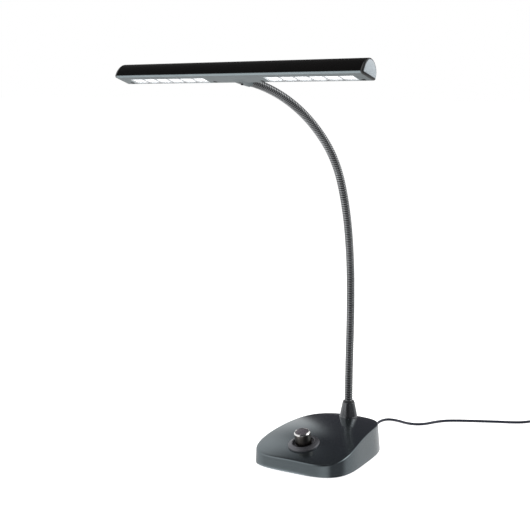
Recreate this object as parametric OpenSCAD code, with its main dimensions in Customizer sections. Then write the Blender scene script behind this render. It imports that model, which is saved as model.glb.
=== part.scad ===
// Piano lamp: a weighted base with a dimmer knob, a ribbed gooseneck and a long light bar.
// Millimetres. The origin is on the floor under the middle of the base, +Z up, +Y to the back.
// The light bar lies along X and hangs in front of the base, at negative Y.

/* [Base] */
// Width of the base across its front end
base_front_w = 112.6; // [100:1:126]
// Width of the base across its back end
base_back_w = 77.6; // [70:1:92]
// Depth of the base from front to back
base_depth = 131; // [118:1:146]
// Squareness of the plan, where 2 is an ellipse
base_squareness = 3.65; // [3.2:0.05:5]
// Height of the top at the front edge, before the arch
base_front_h = 10; // [9:0.5:13]
// Height of the top at the back edge, before the arch
base_back_h = 24; // [23:0.5:32]
// Rise of the arch of the top, from front to back
base_arch = 9.4; // [8:0.2:12]
// Rise of the arch of the top, from side to side
base_crown = 2.9; // [1.5:0.1:3.6]
// Inward lean of the front wall, in degrees
front_draft = 1.6; // [1:0.1:5]
// Inward lean of the back wall, in degrees
back_draft = 5; // [2:0.1:7]
// Radius of the edge round the top
base_edge_r = 1.6; // [1:0.1:2.4]
// Wall of the base shell
base_wall = 2.4; // [2:0.1:2.8]
// Gap between the floor and the rim of the shell
rim_gap = 0.8; // [0.5:0.1:1.2]

/* [Bottom and ballast] */
// Thickness of the rubber base pad
pad_t = 1.5; // [1.3:0.1:2.5]
// Set-back of the base pad from the edge of the bottom plate
pad_inset = 3; // [2:0.5:6]
// Thickness of the steel bottom plate
plate_t = 1.6; // [1.2:0.1:2]
// Thickness of the ballast block
ballast_t = 13; // [9:0.5:13.5]
// Set-back of the ballast from the wall of the shell
ballast_inset = 2; // [1:0.5:5]
// Distance of the ballast's front face behind the front of the base
ballast_back = 48.5; // [48.5:1:64]
// Width and height of the wire channel under the ballast
channel_w = 6; // [5:0.5:9]
// Radius of the base screws
screw_r = 1.5; // [1.2:0.1:1.8]
// Radius of the screw bosses in the shell
boss_r = 3.6; // [3:0.1:4.5]
// Distance of the front screws inside the base's front width, on each side
front_screw_in = 18.3; // [15.3:0.5:22]
// Distance of the front screws behind the front of the base
front_screw_back = 23.5; // [20:0.5:27]
// Distance of the rear screws inside the base's back width, on each side
rear_screw_in = 15; // [13:0.5:18]
// Distance of the rear screws in front of the back of the base
rear_screw_fore = 21; // [19:0.5:24]

/* [Dimmer] */
// Distance of the knob axis behind the front of the base
knob_back = 27.5; // [24:0.5:30]
// Radius of the knob
knob_r = 7.9; // [7:0.1:9]
// Height of the knob's top above the shell
knob_top = 13.8; // [13:0.1:18]
// Radius of the raised ring round the knob
ring_r = 15.4; // [14:0.1:18]
// Height of the ring's crest above the shell
ring_h = 3; // [2.4:0.1:3.4]
// Radius of the recess inside the ring
ring_recess_r = 10.2; // [9.6:0.1:11.5]
// Radius of the turning shaft
shaft_r = 3; // [2.5:0.1:3.2]
// Side of the square control body
control_w = 12; // [10:0.5:13]
// Height of the control body
control_h = 6; // [5:0.2:6.6]
// Width of the dimmer board
board_w = 30; // [28:1:34]
// Depth of the dimmer board
board_d = 26; // [24:1:28]

/* [Neck] */
// Distance of the neck axis in front of the back of the base
neck_fore = 17; // [16.5:0.5:20]
// Turn of the whole arm about the neck axis, in degrees
arm_yaw = -9.2; // [-20:0.2:20]
// Outer radius of the gooseneck
neck_r = 4.1; // [3.5:0.1:4.4]
// Radius of the wire bore in the gooseneck
neck_bore_r = 2; // [1.5:0.1:2.2]
// Pitch of the gooseneck's ribs
rib_pitch = 2.7; // [2.6:0.1:3.4]
// Depth of the groove between two ribs
rib_depth = 0.5; // [0.3:0.05:0.7]
// Radius of the sleeve's flared foot
sleeve_foot_r = 9.2; // [9:0.1:11]
// Radius of the sleeve's cone at its lower end
sleeve_low_r = 8.3; // [8.2:0.1:8.8]
// Radius of the sleeve's cone at its upper end
sleeve_top_r = 6; // [5.8:0.1:6.8]
// Height of the sleeve
sleeve_h = 16.1; // [15:0.1:24]
// Height of the dark collar on the sleeve
collar_h = 1.6; // [1:0.1:2.5]
// Length of the gooseneck, from its foot to its end in the light bar
neck_l = 425; // [400:1:440]
// Gap between the ball end of one length and the cup of the next
bend_gap = 0.35; // [0.3:0.05:0.4]

/* [Light bar] */
// Length of the light bar
bar_l = 300; // [280:1:340]
// Width of the light bar
bar_w = 19.2; // [19:0.1:21]
// Height of the light bar
bar_h = 13.8; // [13.6:0.1:16]
// Pitch of the bar's underside to the end of the gooseneck, in degrees
bar_pitch = 9; // [6:0.5:12]
// Roll of the bar, with its right end up, in degrees
bar_roll = 0.9; // [-3:0.1:3]
// Wall of the black bar shell
bar_wall = 1.4; // [1.2:0.1:1.6]
// Thickness of the grey bar cover
cover_t = 1.6; // [1.5:0.1:2]
// Chamfer along the cover's front edge
cover_chamfer = 1.3; // [0.8:0.1:1.4]
// Distance of each window's inner end from the middle of the bar
window_start = 36.5; // [36:0.5:40]
// Distance of each window's outer end from the end of the bar
window_end = 14.5; // [14:0.5:20]
// Width of the windows
window_w = 8.8; // [8.2:0.1:9]
// Distance of the windows' middle behind the middle of the bar
window_y = 3.2; // [3:0.1:3.4]
// Number of light cells in each window
cells = 6; // [4:1:6]
// Thickness of the panes
pane_t = 1.2; // [1:0.1:1.4]
// Height of the reflector trays
tray_h = 4.8; // [4:0.1:4.9]
// Side of one LED
led_w = 5; // [3.5:0.1:5.4]
// Radius of the snout that holds the gooseneck
snout_r = 5.3; // [5.2:0.1:6]
// Length of the snout along the gooseneck
snout_l = 14.5; // [12:0.5:16]
// Thickness of the end plugs
plug_t = 2; // [1.6:0.1:2.6]
// Distance of the outer cover screws from the bar's ends
end_screw = 9.5; // [8.5:0.5:10]
// Distance of the inner cover screws from the middle of the bar
inner_screw_x = 29; // [26:0.5:31]

/* [Cord] */
// Diameter of the low-voltage cord
cord_d = 2.8; // [2.6:0.1:3]
// Diameter across the coil at the middle of its turns
coil_d = 33; // [31:1:34]
// Turns of the coil in each of its two layers
coil_layer_turns = 5.5; // [5.5:1:5.5]
// Height of the cord gland above the floor
gland_z = 7.5; // [7:0.1:8.5]

/* [Hidden] */

fit = 0.15;         // gap round a piece that drops into a pocket
slip = 0.05;        // gap round a shaft or a stub in its hole
eps = 0.5;          // overshoot of a cut
plan_sides = 64;    // points round the base
neck_sides = 8;     // sides of the gooseneck
rubber = "#1c1d1f";
steel = "#9a9da0";
dark_plastic = "#33363a";
grey_plastic = "#7a8284";

// ---- shape of the base ----
base_mid_w = (base_front_w + base_back_w) / 2;
base_taper = (base_front_w - base_back_w) / (base_front_w + base_back_w);

// height of the top over a point of the plan
function top_z(p) =
  base_front_h + (base_back_h - base_front_h) * (p[1] / base_depth + 0.5)
  + base_arch * (1 - pow(2 * p[1] / base_depth, 2))
  + base_crown * (1 - pow(2 * p[0] / base_mid_w, 2));

// point of the plan outline in direction a, set in from the edge
function plan_at(a, inset) =
  let (n = base_squareness,
       rho = pow(pow(abs(cos(a)), n) + pow(abs(sin(a)), n), -1 / n),
       sx = rho * cos(a), sy = rho * sin(a))
  [(base_mid_w / 2 - inset) * sx * (1 - base_taper * sy), (base_depth / 2 - inset) * sy];

plan_angles = [for (i = [0 : plan_sides - 1]) 360 * i / plan_sides];
function plan(inset) = [for (a = plan_angles) plan_at(a, inset)];

// ring at one height, or just under the top, drawn in towards the middle by share
function level_ring(inset, z) = [for (p = plan(inset)) [p[0], p[1], z]];
function lean_in(a, z) =
  z * tan(front_draft + (back_draft - front_draft) * (plan_at(a, 0)[1] / base_depth + 0.5));
function top_ring(inset, drop, share = 1) =
  [for (a = plan_angles)
    let (edge = top_z(plan_at(a, 0)) - base_edge_r,
         p = plan_at(a, lean_in(a, edge) + inset) * share)
    [p[0], p[1], top_z(p) - drop]];

// ---- tubes and lofts from rings of points ----
function ring_faces(n, m, looped) =
  [for (i = [0 : n - (looped ? 1 : 2)], k = [0 : m - 1], half = [0, 1])
    let (j = (i + 1) % n, l = (k + 1) % m)
    half == 0 ? [i * m + k, j * m + l, i * m + l] : [i * m + k, j * m + k, j * m + l]];

function middle_of(ring) = [for (c = [0 : 2]) sum([for (p = ring) p[c]]) / len(ring)];
function sum(list, i = 0) = i < len(list) ? list[i] + sum(list, i + 1) : 0;

// closed skin over a list of rings, with a fan over each end, or looped back on itself
module skin(rings, looped = false) {
  n = len(rings);
  m = len(rings[0]);
  ends = looped ? [] : [middle_of(rings[0]), middle_of(rings[n - 1])];
  caps = looped ? [] : [for (k = [0 : m - 1]) let (l = (k + 1) % m) each [
    [n * m, k, l], [n * m + 1, (n - 1) * m + l, (n - 1) * m + k]]];
  polyhedron(points = concat([for (r = rings) each r], ends),
             faces = concat(ring_faces(n, m, looped), caps), convexity = 8);
}

function unit(v) = v / norm(v);

// rings of a tube along points, square to the line; ref is a direction the line never takes
function tube_rings(points, r, sides, ref) =
  [for (i = [0 : len(points) - 1])
    let (t = unit(points[min(i + 1, len(points) - 1)] - points[max(i - 1, 0)]),
         side = unit(cross(ref, t)), up = cross(t, side))
    [for (k = [0 : sides - 1]) let (a = 360 * (k + 0.5) / sides)
      points[i] - r * (cos(a) * side - sin(a) * up)]];

module tube(points, r, sides, ref) { skin(tube_rings(points, r, sides, ref)); }

// ---- places on the base ----
plate_z = pad_t;
knob_y = knob_back - base_depth / 2;
neck_y = base_depth / 2 - neck_fore;
ballast_front_y = ballast_back - base_depth / 2;
plate_top = plate_z + plate_t;
base_slope = (base_back_h - base_front_h) / base_depth - 8 * base_arch * knob_y / pow(base_depth, 2);
knob_lean = atan(base_slope);
knob_z = top_z([0, knob_y]);
pocket_d = 0.8;                        // depth of the ring's seat in the shell
seat_d = base_wall + 1.2;              // depth of the control's seat under the top
washer_t = 0.5;
nut_t = 2;
ring_floor = 1.2;
bushing_r = shaft_r + 0.6;
bushing_top = ring_floor - pocket_d + washer_t + nut_t + 0.7;
board_t = 1.2;

module knob_frame() {
  translate([0, knob_y, knob_z]) rotate([knob_lean, 0, 0]) children();
}

neck_seat_z = top_z([0, neck_y]) - 0.5;
neck_pad_t = 4.5;                      // thickness of the shell under the neck
neck_pad_z = neck_seat_z - neck_pad_t;
stub_r = 5;
neck_washer_t = 1.2;
neck_nut_t = 4.5;
flange_t = 2;
cup_floor = 1.75;                      // height of the gooseneck's foot above the seat
cup_h = 8;
cup_r = neck_r + 1.6;
stub_low_z = neck_pad_z - neck_washer_t - neck_nut_t - 1.5;

module neck_frame() { translate([0, neck_y, neck_seat_z]) children(); }

front_screw_x = base_front_w / 2 - front_screw_in;
front_screw_y = front_screw_back - base_depth / 2;
rear_screw_x = base_back_w / 2 - rear_screw_in;
rear_screw_y = base_depth / 2 - rear_screw_fore;
screw_places = [[front_screw_x, front_screw_y], [-front_screw_x, front_screw_y],
                [rear_screw_x, rear_screw_y], [-rear_screw_x, rear_screw_y]];
screw_l = 7;

gland_hole_r = 3;
gland_flange_r = 4.3;
gland_flange_t = 1.5;
gland_l = 14;                          // length of the strain relief outside the wall
gland_pocket_y = plan_at(90, (gland_z + gland_flange_r + 0.4) * tan(back_draft))[1] - 0.2;
gland_y = gland_pocket_y + gland_flange_t + gland_l;

// ---- line of the gooseneck, in the plane of the arm ----
// Each stretch is [length, turn in degrees], for a gooseneck of the length in neck_arcs_l.
neck_arcs_l = 425;
neck_k = neck_l / neck_arcs_l;
neck_arcs = [for (a = [[18, 0], [60, -2], [60, 3.5], [50, 6.5], [50, 10.5], [50, 24],
                       [50, 15.5], [70, 20], [17, 0]]) [a[0] * neck_k, a[1]]];
// A state is [forward, height, heading, length so far]; the heading is 0 straight up.
neck_start = [0, neck_seat_z + cup_floor, 0, 0];

function step(state, arc, s) =
  let (h0 = state[2], h1 = h0 + arc[1] * s / arc[0], bend = arc[1] * PI / 180 / arc[0])
  abs(arc[1]) < 0.001
    ? [state[0] + s * sin(h0), state[1] + s * cos(h0), h0, state[3] + s]
    : [state[0] + (cos(h0) - cos(h1)) / bend, state[1] + (sin(h1) - sin(h0)) / bend,
       h1, state[3] + s];

function arc_starts(i = 0, state = neck_start) =
  i == len(neck_arcs) ? [state]
  : concat([state], arc_starts(i + 1, step(state, neck_arcs[i], neck_arcs[i][0])));
arc_states = arc_starts();
neck_end = arc_states[len(neck_arcs)];

function arc_index(s, i = 0) =
  i >= len(neck_arcs) - 1 || s < arc_states[i + 1][3] ? i : arc_index(s, i + 1);
function neck_at(s) = let (i = arc_index(s)) step(arc_states[i], neck_arcs[i], s - arc_states[i][3]);

// ring of the gooseneck at length s, pushed on by ahead along its own direction
function neck_ring(s, r, ahead = 0) =
  let (p = neck_at(s), h = p[2])
  [for (k = [0 : neck_sides - 1]) let (a = 360 * (k + 0.5) / neck_sides)
    [r * cos(a), -p[0] - ahead * sin(h) + r * sin(a) * cos(h),
     p[1] + ahead * cos(h) + r * sin(a) * sin(h)]];

module arm_frame() { translate([0, neck_y, 0]) rotate([0, 0, arm_yaw]) children(); }

// The lamp's gooseneck bends anywhere. Here it bends at five places, each a ball in a cup.
bend_s = [for (s = [48, 130, 235, 315, 386]) s * neck_k];
cup_ball_r = neck_r + bend_gap;
bore_step = 30;                        // distance between the rings of the bore

// One length of gooseneck from s0 to s1, with a cup at s0 and a ball at s1 where asked.
// Its skin runs up the ribs, over the ball, back down the bore and out over the cup.
module gooseneck(s0, s1, cup, ball) {
  rim = cup ? sqrt(pow(cup_ball_r, 2) - pow(neck_r, 2)) : 0;
  half = rib_pitch / 2;
  // above a cup the first ring is a crest, so that no groove meets the hollow
  near = ceil((s0 + rim + 0.3 * half) / half);
  first = cup && near % 2 != 0 ? near + 1 : near;
  last = floor((s1 - 0.3 * half) / half);
  ribs = [for (i = [first : last]) neck_ring(i * half, i % 2 == 0 ? neck_r : neck_r - rib_depth)];
  ball_rings = ball ? [for (a = [0, 32, acos(neck_bore_r / neck_r)])
    neck_ring(s1, neck_r * cos(a), neck_r * sin(a))] : [neck_ring(s1, neck_r)];
  bore_end = ball ? [] : [neck_ring(s1, neck_bore_r)];
  steps = max(1, floor((s1 - s0 - 6) / bore_step));
  bore_low = s0 + (cup ? cup_ball_r + 1 : 1);
  bore = [for (i = [steps : -1 : 0]) neck_ring(bore_low + (s1 - 1 - bore_low) * i / steps, neck_bore_r)];
  cup_rings = cup ? [for (a = [acos(neck_bore_r / cup_ball_r), 45])
    neck_ring(s0, cup_ball_r * cos(a), cup_ball_r * sin(a))] : [neck_ring(s0, neck_bore_r)];
  foot = [neck_ring(s0, neck_r, rim)];
  arm_frame() skin(concat(foot, ribs, ball_rings, bore_end, bore, cup_rings), looped = true);
}

// ---- places on the light bar ----
socket_y = 6.6;                        // end of the gooseneck, from the middle of the bar
socket_z = 1.6;
bar_tilt = 90 - neck_end[2] + bar_pitch;
shell_l = bar_l - 2 * plug_t;
window_l = bar_l / 2 - window_start - window_end;
cell_l = window_l / cells;
screw_row_y = bar_w / 2 - 3.3;
screw_head_r = 1.9;
tray_wall = 0.6;
// half the clear width inside the shell at height z
function inside_w(z) = (bar_w / 2 - bar_wall) * sqrt(1 - pow((z - cover_t) / (bar_h - cover_t - bar_wall), 2));
tray_front = window_y - window_w / 2 - tray_wall;
tray_back = inside_w(cover_t + tray_h) - 0.1;
tray_y = (tray_front + tray_back) / 2;
led_board_t = 1.2;
led_board_w = 7.2;
led_t = 1.4;
bracket_t = 1.6;
snout_front_w = 22;                    // width of the snout where it runs into the cover
bar_screw_r = 1.1;
spigot_l = end_screw + 1.3;

module bar_frame() {
  arm_frame() translate([0, -neck_end[0], neck_end[1]]) rotate([-bar_tilt, 0, 0])
    rotate([0, -bar_roll, 0]) translate([0, -socket_y, -socket_z]) children();
}
// along the gooseneck's end, +Z away from the bar
module socket_frame() {
  translate([0, socket_y, socket_z]) rotate([0, bar_roll, 0]) rotate([bar_pitch - 90, 0, 0])
    children();
}

// D-shaped outline of the bar above its cover, set in all round
module bar_profile(inset, low) {
  polygon(concat([[-(bar_w / 2 - inset), low], [bar_w / 2 - inset, low]],
    [for (i = [1 : 47]) let (a = 180 * i / 48)
      [(bar_w / 2 - inset) * cos(a), cover_t + (bar_h - cover_t - inset) * sin(a)]]));
}
// extrudes an outline drawn in Y and Z along X
module along_bar(x0, length) {
  translate([x0, 0, 0]) rotate([90, 0, 90]) linear_extrude(length) children();
}

cover_screw_places = [for (s = [-1, 1]) each [
  [s * inner_screw_x, screw_row_y], [s * (bar_l / 2 - end_screw), screw_row_y]]];

// ---- cord ----
cord_r = cord_d / 2;
// free stretch, from the gland to the coil, as points on the floor plane and above it
lead_route = [
  [0, gland_y, gland_z], [-0.5, 92, 5], [-3, 106, 2.6], [-7, 119, cord_r], [-10.5, 131, cord_r],
  [-11.6, 142, cord_r], [-9, 149.5, cord_r], [-3, 152, cord_r], [5, 151.3, cord_r],
  [12, 149.3, cord_r], [19, 148.5, cord_r], [26, 150, cord_r], [32, 154.7, cord_r],
  [36, 161.5, cord_r], [40, 170.3, cord_r], [45, 178, cord_r], [53, 185, cord_r],
  [65, 192, cord_r], [80, 200, cord_r], [95, 207.5, cord_r], [109, 214, cord_r], [121, 223, cord_r]
];
coil_gap = 0.45;                       // least gap between turns
coil_pitch = cord_d + coil_gap;
coil_turns = 2 * coil_layer_turns;
coil_centre = [160, 238];
coil_sides = 6;
coil_steps = 24;                       // rings in each turn
coil_start_a = 155;                    // direction from the coil's centre to its first turn
coil_in_r = coil_d / 2 - coil_layer_turns * coil_pitch / 2;
coil_out_r = coil_in_r + coil_layer_turns * coil_pitch;

function ramp(x) = x <= 0 ? 0 : x >= 1 ? 1 : x * x * (3 - 2 * x);
// middle of the cord t turns into the coil: inwards on the floor, then out again on top
function coil_at(t) =
  let (r = coil_in_r + coil_pitch * abs(t - coil_layer_turns),
       a = coil_start_a - 360 * t,
       z = cord_r + coil_pitch * ramp(2 * (t - coil_layer_turns) + 0.5))
  [coil_centre[0] + r * cos(a), coil_centre[1] + r * sin(a), z];

coil_first = coil_at(0);
coil_way_in = unit(coil_at(0.01) - coil_first);
coil_last = coil_at(coil_turns);
coil_way_out = unit(coil_last - coil_at(coil_turns - 0.01));
coil_line = [for (i = [0 : coil_turns * coil_steps]) coil_at(i / coil_steps)];

// least gap between turns, measured from each point to the line half a turn or more away
coil_least_gap = min([for (i = [0 : 2 : len(coil_line) - 1], j = [i + 13 : len(coil_line) - 1])
  norm(coil_line[i] - coil_line[j])]) - cord_d;

function line_length(points) =
  sum([for (i = [1 : len(points) - 1]) norm(points[i] - points[i - 1])]);

plug_r = 4.6;
plug_l = 26;
tail_l = 14;
plug_relief_l = 9;

echo(neck_length = neck_l, neck_end = neck_end, bar_tilt = bar_tilt, knob_lean = knob_lean);
echo(bends = [for (s = bend_s) neck_at(s)], knob_z = knob_z, seat_z = neck_seat_z);
echo(coil_least_gap = coil_least_gap, gland_y = gland_y, first = coil_first, last = coil_last);
echo(lead_length = line_length(lead_route), coil_length = line_length(coil_line));

// ================= base =================
module base_shell() color("#3a3d41") difference() {
  union() {
    difference() {
      skin([level_ring(0, rim_gap),
            top_ring(0, base_edge_r),
            top_ring(base_edge_r * (1 - cos(45)), base_edge_r * (1 - sin(45))),
            top_ring(base_edge_r, 0), top_ring(base_edge_r, 0, 0.84),
            top_ring(base_edge_r, 0, 0.62), top_ring(base_edge_r, 0, 0.38),
            top_ring(base_edge_r, 0, 0.14)]);
      skin([level_ring(base_wall, rim_gap - eps), level_ring(base_wall, plate_top),
            top_ring(base_wall, base_wall + base_edge_r), top_ring(base_wall + base_edge_r, base_wall),
            top_ring(base_wall + base_edge_r, base_wall, 0.66),
            top_ring(base_wall + base_edge_r, base_wall, 0.33),
            top_ring(base_wall + base_edge_r, base_wall, 0.1)]);
    }
    for (p = screw_places)
      translate([p[0], p[1], plate_top]) cylinder(r = boss_r, h = top_z(p) - plate_top - 1.2);
    knob_frame() translate([0, 0, -seat_d]) cylinder(r = control_w * 0.75, h = seat_d - pocket_d - 0.2);
    translate([0, neck_y, neck_pad_z]) cylinder(r = 11.5, h = neck_pad_t - 1.7);
    translate([0, neck_y, neck_pad_z]) cylinder(r = sleeve_foot_r, h = neck_pad_t);
  }
  for (p = screw_places)
    translate([p[0], p[1], plate_top - eps]) cylinder(r = screw_r + slip, h = screw_l + eps, $fn = 24);
  knob_frame() {
    translate([0, 0, -pocket_d]) cylinder(r = ring_r + fit, h = 6);
    translate([0, 0, -seat_d - 1]) cylinder(r = bushing_r + fit, h = seat_d + 2);
  }
  neck_frame() {
    cylinder(r = sleeve_foot_r + fit, h = 6);
    translate([0, 0, -neck_pad_t - 1]) cylinder(r = stub_r + fit, h = neck_pad_t + 2);
  }
  translate([0, gland_pocket_y, gland_z]) rotate([-90, 0, 0]) {
    cylinder(r = gland_flange_r + fit, h = 6);
    translate([0, 0, -8]) cylinder(r = gland_hole_r, h = 10);
  }
}

module bottom_plate() color(steel) difference() {
  translate([0, 0, plate_z]) linear_extrude(plate_t) polygon(plan(base_wall + 0.3));
  for (p = screw_places)
    translate([p[0], p[1], plate_z - eps]) cylinder(r = screw_r + 0.2, h = plate_t + 2 * eps, $fn = 24);
}

module ballast_block() color("#6d6f70") difference() {
  translate([0, 0, plate_top]) linear_extrude(ballast_t) intersection() {
    polygon(plan(base_wall + ballast_t * tan(back_draft) + ballast_inset));
    translate([-base_front_w / 2, ballast_front_y]) square([base_front_w, base_depth]);
  }
  for (x = [-1, 1])
    translate([x * rear_screw_x, rear_screw_y, plate_top - eps])
      cylinder(r = boss_r + 0.5, h = ballast_t + 2 * eps);
  translate([0, neck_y, plate_top - eps]) cylinder(r = 11, h = ballast_t + 2 * eps);
  translate([-channel_w / 2, ballast_front_y - eps, plate_top - eps])
    cube([channel_w, base_depth, channel_w + eps]);
}

module base_pad() color(rubber) difference() {
  linear_extrude(pad_t) polygon(plan(base_wall + 0.3 + pad_inset));
  for (p = screw_places) translate([p[0], p[1], -eps]) cylinder(r = 2.8 + 0.6, h = pad_t + 2 * eps);
}

module base_screws() color(steel) for (p = screw_places) translate([p[0], p[1], 0]) {
  translate([0, 0, plate_z - 1.1]) cylinder(r = 2.8, h = 1.1);
  translate([0, 0, plate_z - 0.1]) cylinder(r = screw_r, h = screw_l, $fn = 24);
}

// ================= dimmer =================
module knob_ring() color("#4b4f53") knob_frame() rotate_extrude() translate([0, -pocket_d])
  polygon([[bushing_r + fit, 0], [ring_r, 0], [ring_r, pocket_d + 0.9],
           [ring_r - 0.6, pocket_d + 1.4], [ring_recess_r + 1.5, pocket_d + ring_h - 0.1],
           [ring_recess_r + 0.9, pocket_d + ring_h], [ring_recess_r + 0.1, pocket_d + ring_h - 0.4],
           [ring_recess_r, ring_floor], [bushing_r + fit, ring_floor]]);

module dimmer_control() color("#2b3f6b") knob_frame() difference() {
  union() {
    translate([-control_w / 2, -control_w / 2, -seat_d - control_h]) cube([control_w, control_w, control_h]);
    translate([0, 0, -seat_d - 1]) cylinder(r = bushing_r, h = seat_d + 1 + bushing_top);
  }
  translate([0, 0, -seat_d - control_h + 1.4]) 
    cylinder(r = shaft_r + slip, h = seat_d + control_h + bushing_top);
}

module dimmer_washer() color(steel) knob_frame() translate([0, 0, ring_floor - pocket_d]) difference() {
  cylinder(r = bushing_r + 2.2, h = washer_t);
  translate([0, 0, -eps]) cylinder(r = bushing_r + slip, h = washer_t + 2 * eps);
}

module dimmer_nut() color(steel) knob_frame() translate([0, 0, ring_floor - pocket_d + washer_t])
  difference() {
    cylinder(r = bushing_r + 1.9, h = nut_t, $fn = 6);
    translate([0, 0, -eps]) cylinder(r = bushing_r + slip, h = nut_t + 2 * eps);
  }

board_top = -seat_d - control_h;
module dimmer_board() color("#1f5a34") knob_frame()
  translate([-board_w / 2, -board_d / 2, board_top - board_t]) cube([board_w, board_d, board_t]);

// choke, capacitor, driver chip and wire terminal on the board
module driver_parts() color("#303236") knob_frame() translate([0, 0, board_top]) {
  choke = 3.4;
  translate([-board_w / 2 + choke + 0.6, board_d / 2 - choke - 1, 0]) cylinder(r = choke, h = 4);
  translate([board_w / 2 - 3.4, board_d / 2 - 4, 0]) cylinder(r = 2.5, h = 4.6);
  translate([board_w / 2 - 6.6, -6, 0]) cube([5, 4, 1.5]);
  translate([-board_w / 2 + 1, -board_d / 2 + 1, 0]) cube([6.5, 7, 3.4]);
}

module dimmer_shaft() color(steel) knob_frame()
  translate([0, 0, -seat_d - control_h + 1.7]) cylinder(r = shaft_r, h = seat_d + control_h - 1.7 + knob_top - 3.1);

knob_hub_z = bushing_top + 0.6;
knob_skirt_z = 1.6;
knob_wall = 1.4;
module dimmer_knob() color("#5c6064") knob_frame() rotate_extrude() polygon([
  [shaft_r + slip, knob_hub_z], [shaft_r + 1.6, knob_hub_z], [shaft_r + 1.6, knob_top - 2.9],
  [knob_r - knob_wall, knob_top - 2.9], [knob_r - knob_wall, knob_skirt_z], [knob_r, knob_skirt_z],
  [knob_r, knob_top - 0.9], [knob_r - 0.8, knob_top], [knob_r - 1.3, knob_top],
  [knob_r - 1.3, knob_top - 0.6], [0, knob_top - 0.6], [0, knob_top - 3], [shaft_r + slip, knob_top - 3]]);

module knob_cap() color("#2f3235") knob_frame()
  translate([0, 0, knob_top - 0.6]) cylinder(r = knob_r - 1.3 - slip, h = 0.5);

// ================= neck foot =================
module neck_ferrule() color(steel) difference() {
  union() {
    translate([0, neck_y, stub_low_z]) cylinder(r = stub_r, h = neck_seat_z - stub_low_z + 0.5);
    neck_frame() cylinder(r = 7.2, h = flange_t);
    neck_frame() cylinder(r = cup_r, h = cup_h);
  }
  translate([0, neck_y, stub_low_z - eps]) cylinder(r = neck_bore_r + 0.2, h = neck_seat_z + cup_h);
  neck_frame() translate([0, 0, cup_floor]) cylinder(r = neck_r + slip, h = cup_h);
}

module neck_washer() color(steel) translate([0, neck_y, neck_pad_z - neck_washer_t]) difference() {
  cylinder(r = 8.8, h = neck_washer_t);
  translate([0, 0, -eps]) cylinder(r = stub_r + slip, h = neck_washer_t + 2 * eps);
}

module neck_nut() color(steel) translate([0, neck_y, neck_pad_z - neck_washer_t - neck_nut_t])
  difference() {
    cylinder(r = 8.2, h = neck_nut_t, $fn = 6);
    translate([0, 0, -eps]) cylinder(r = stub_r + slip, h = neck_nut_t + 2 * eps);
  }

module neck_sleeve() color("#2a2c2f") neck_frame() rotate_extrude() polygon([
  [7.35, 0], [sleeve_foot_r, 0], [sleeve_foot_r, 0.5], [sleeve_low_r + 0.5, 1.8],
  [sleeve_low_r, 3.6], [sleeve_top_r, sleeve_h], [neck_r + 0.12, sleeve_h],
  [neck_r + 0.12, sleeve_h - 4], [cup_r + 0.2, cup_h + 0.4], [cup_r + 0.2, cup_h - 1], [7.35, flange_t + 0.6]]);

module sleeve_collar() color("#101113") neck_frame() translate([0, 0, sleeve_h]) rotate_extrude() polygon([
  [neck_r + 0.1, 0], [sleeve_top_r - 0.2, 0], [sleeve_top_r - 0.3, collar_h * 0.6],
  [sleeve_top_r - 0.9, collar_h], [neck_r + 0.1, collar_h]]);

module gooseneck_foot() color(rubber) gooseneck(0, bend_s[0], false, true);
module gooseneck_low() color(rubber) gooseneck(bend_s[0], bend_s[1], true, true);
module gooseneck_middle() color(rubber) gooseneck(bend_s[1], bend_s[2], true, true);
module gooseneck_high() color(rubber) gooseneck(bend_s[2], bend_s[3], true, true);
module gooseneck_top() color(rubber) gooseneck(bend_s[3], bend_s[4], true, true);
module gooseneck_end() color(rubber) gooseneck(bend_s[4], neck_l, true, false);

// ================= wires inside =================
wire_r = 0.9;
module base_wires() color("#7a1f1f") {
  board_y = knob_y + 15.5;
  low_z = plate_top + 2;
  tip_z = knob_z - 8;
  tube([[-1.5, gland_pocket_y - 4.6, gland_z - 1], [-1.5, gland_pocket_y - 8, low_z],
        [-1.5, 10, low_z], [-1.5, ballast_front_y - 1.5, low_z], [-6, ballast_front_y - 4.5, low_z + 1],
        [-9, board_y, low_z + 3], [-9, board_y - 1, tip_z]], wire_r, 6, [1, 0.2, 0]);
  tube([[1.5, neck_y, stub_low_z - 0.3], [1.5, neck_y - 1, stub_low_z - 4], [1.5, neck_y - 7, low_z],
        [1.5, 10, low_z], [1.5, ballast_front_y - 1.5, low_z], [6, ballast_front_y - 4.5, low_z + 1],
        [9, board_y, low_z + 3], [9, board_y - 1, tip_z]], wire_r, 6, [1, -0.2, 0]);
}

module bar_wires() color("#7a1f1f") bar_frame() for (s = [-1, 1]) {
  end_x = window_start - 1.2;
  tube([[s * 1.2, socket_y - 1.4, 2.8], [s * 2.6, socket_y - 4, 5], [s * 7, 2, 6.6],
        [s * 16, 1, 7], [s * end_x, 1, 7]], 0.8, 6, [0, 0.3, 1]);
}

// ================= light bar =================
module bar_shell() color("#0e0e10") bar_frame() difference() {
  along_bar(-shell_l / 2, shell_l) difference() {
    bar_profile(0, cover_t);
    bar_profile(bar_wall, cover_t - 1);
  }
  snout_body(0.3);
}

// the snout runs from a broad foot on the cover to a round end on the gooseneck
module snout_body(grow) hull() {
  socket_frame() translate([0, 0, 1.5 - grow])
    cylinder(r = snout_r + grow, h = snout_l - 1.5 + 2 * grow, $fn = 32);
  translate([-snout_front_w / 2 - grow, -1 - grow, 0])
    cube([snout_front_w + 2 * grow, 9 + 2 * grow, 1 + grow]);
}

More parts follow.
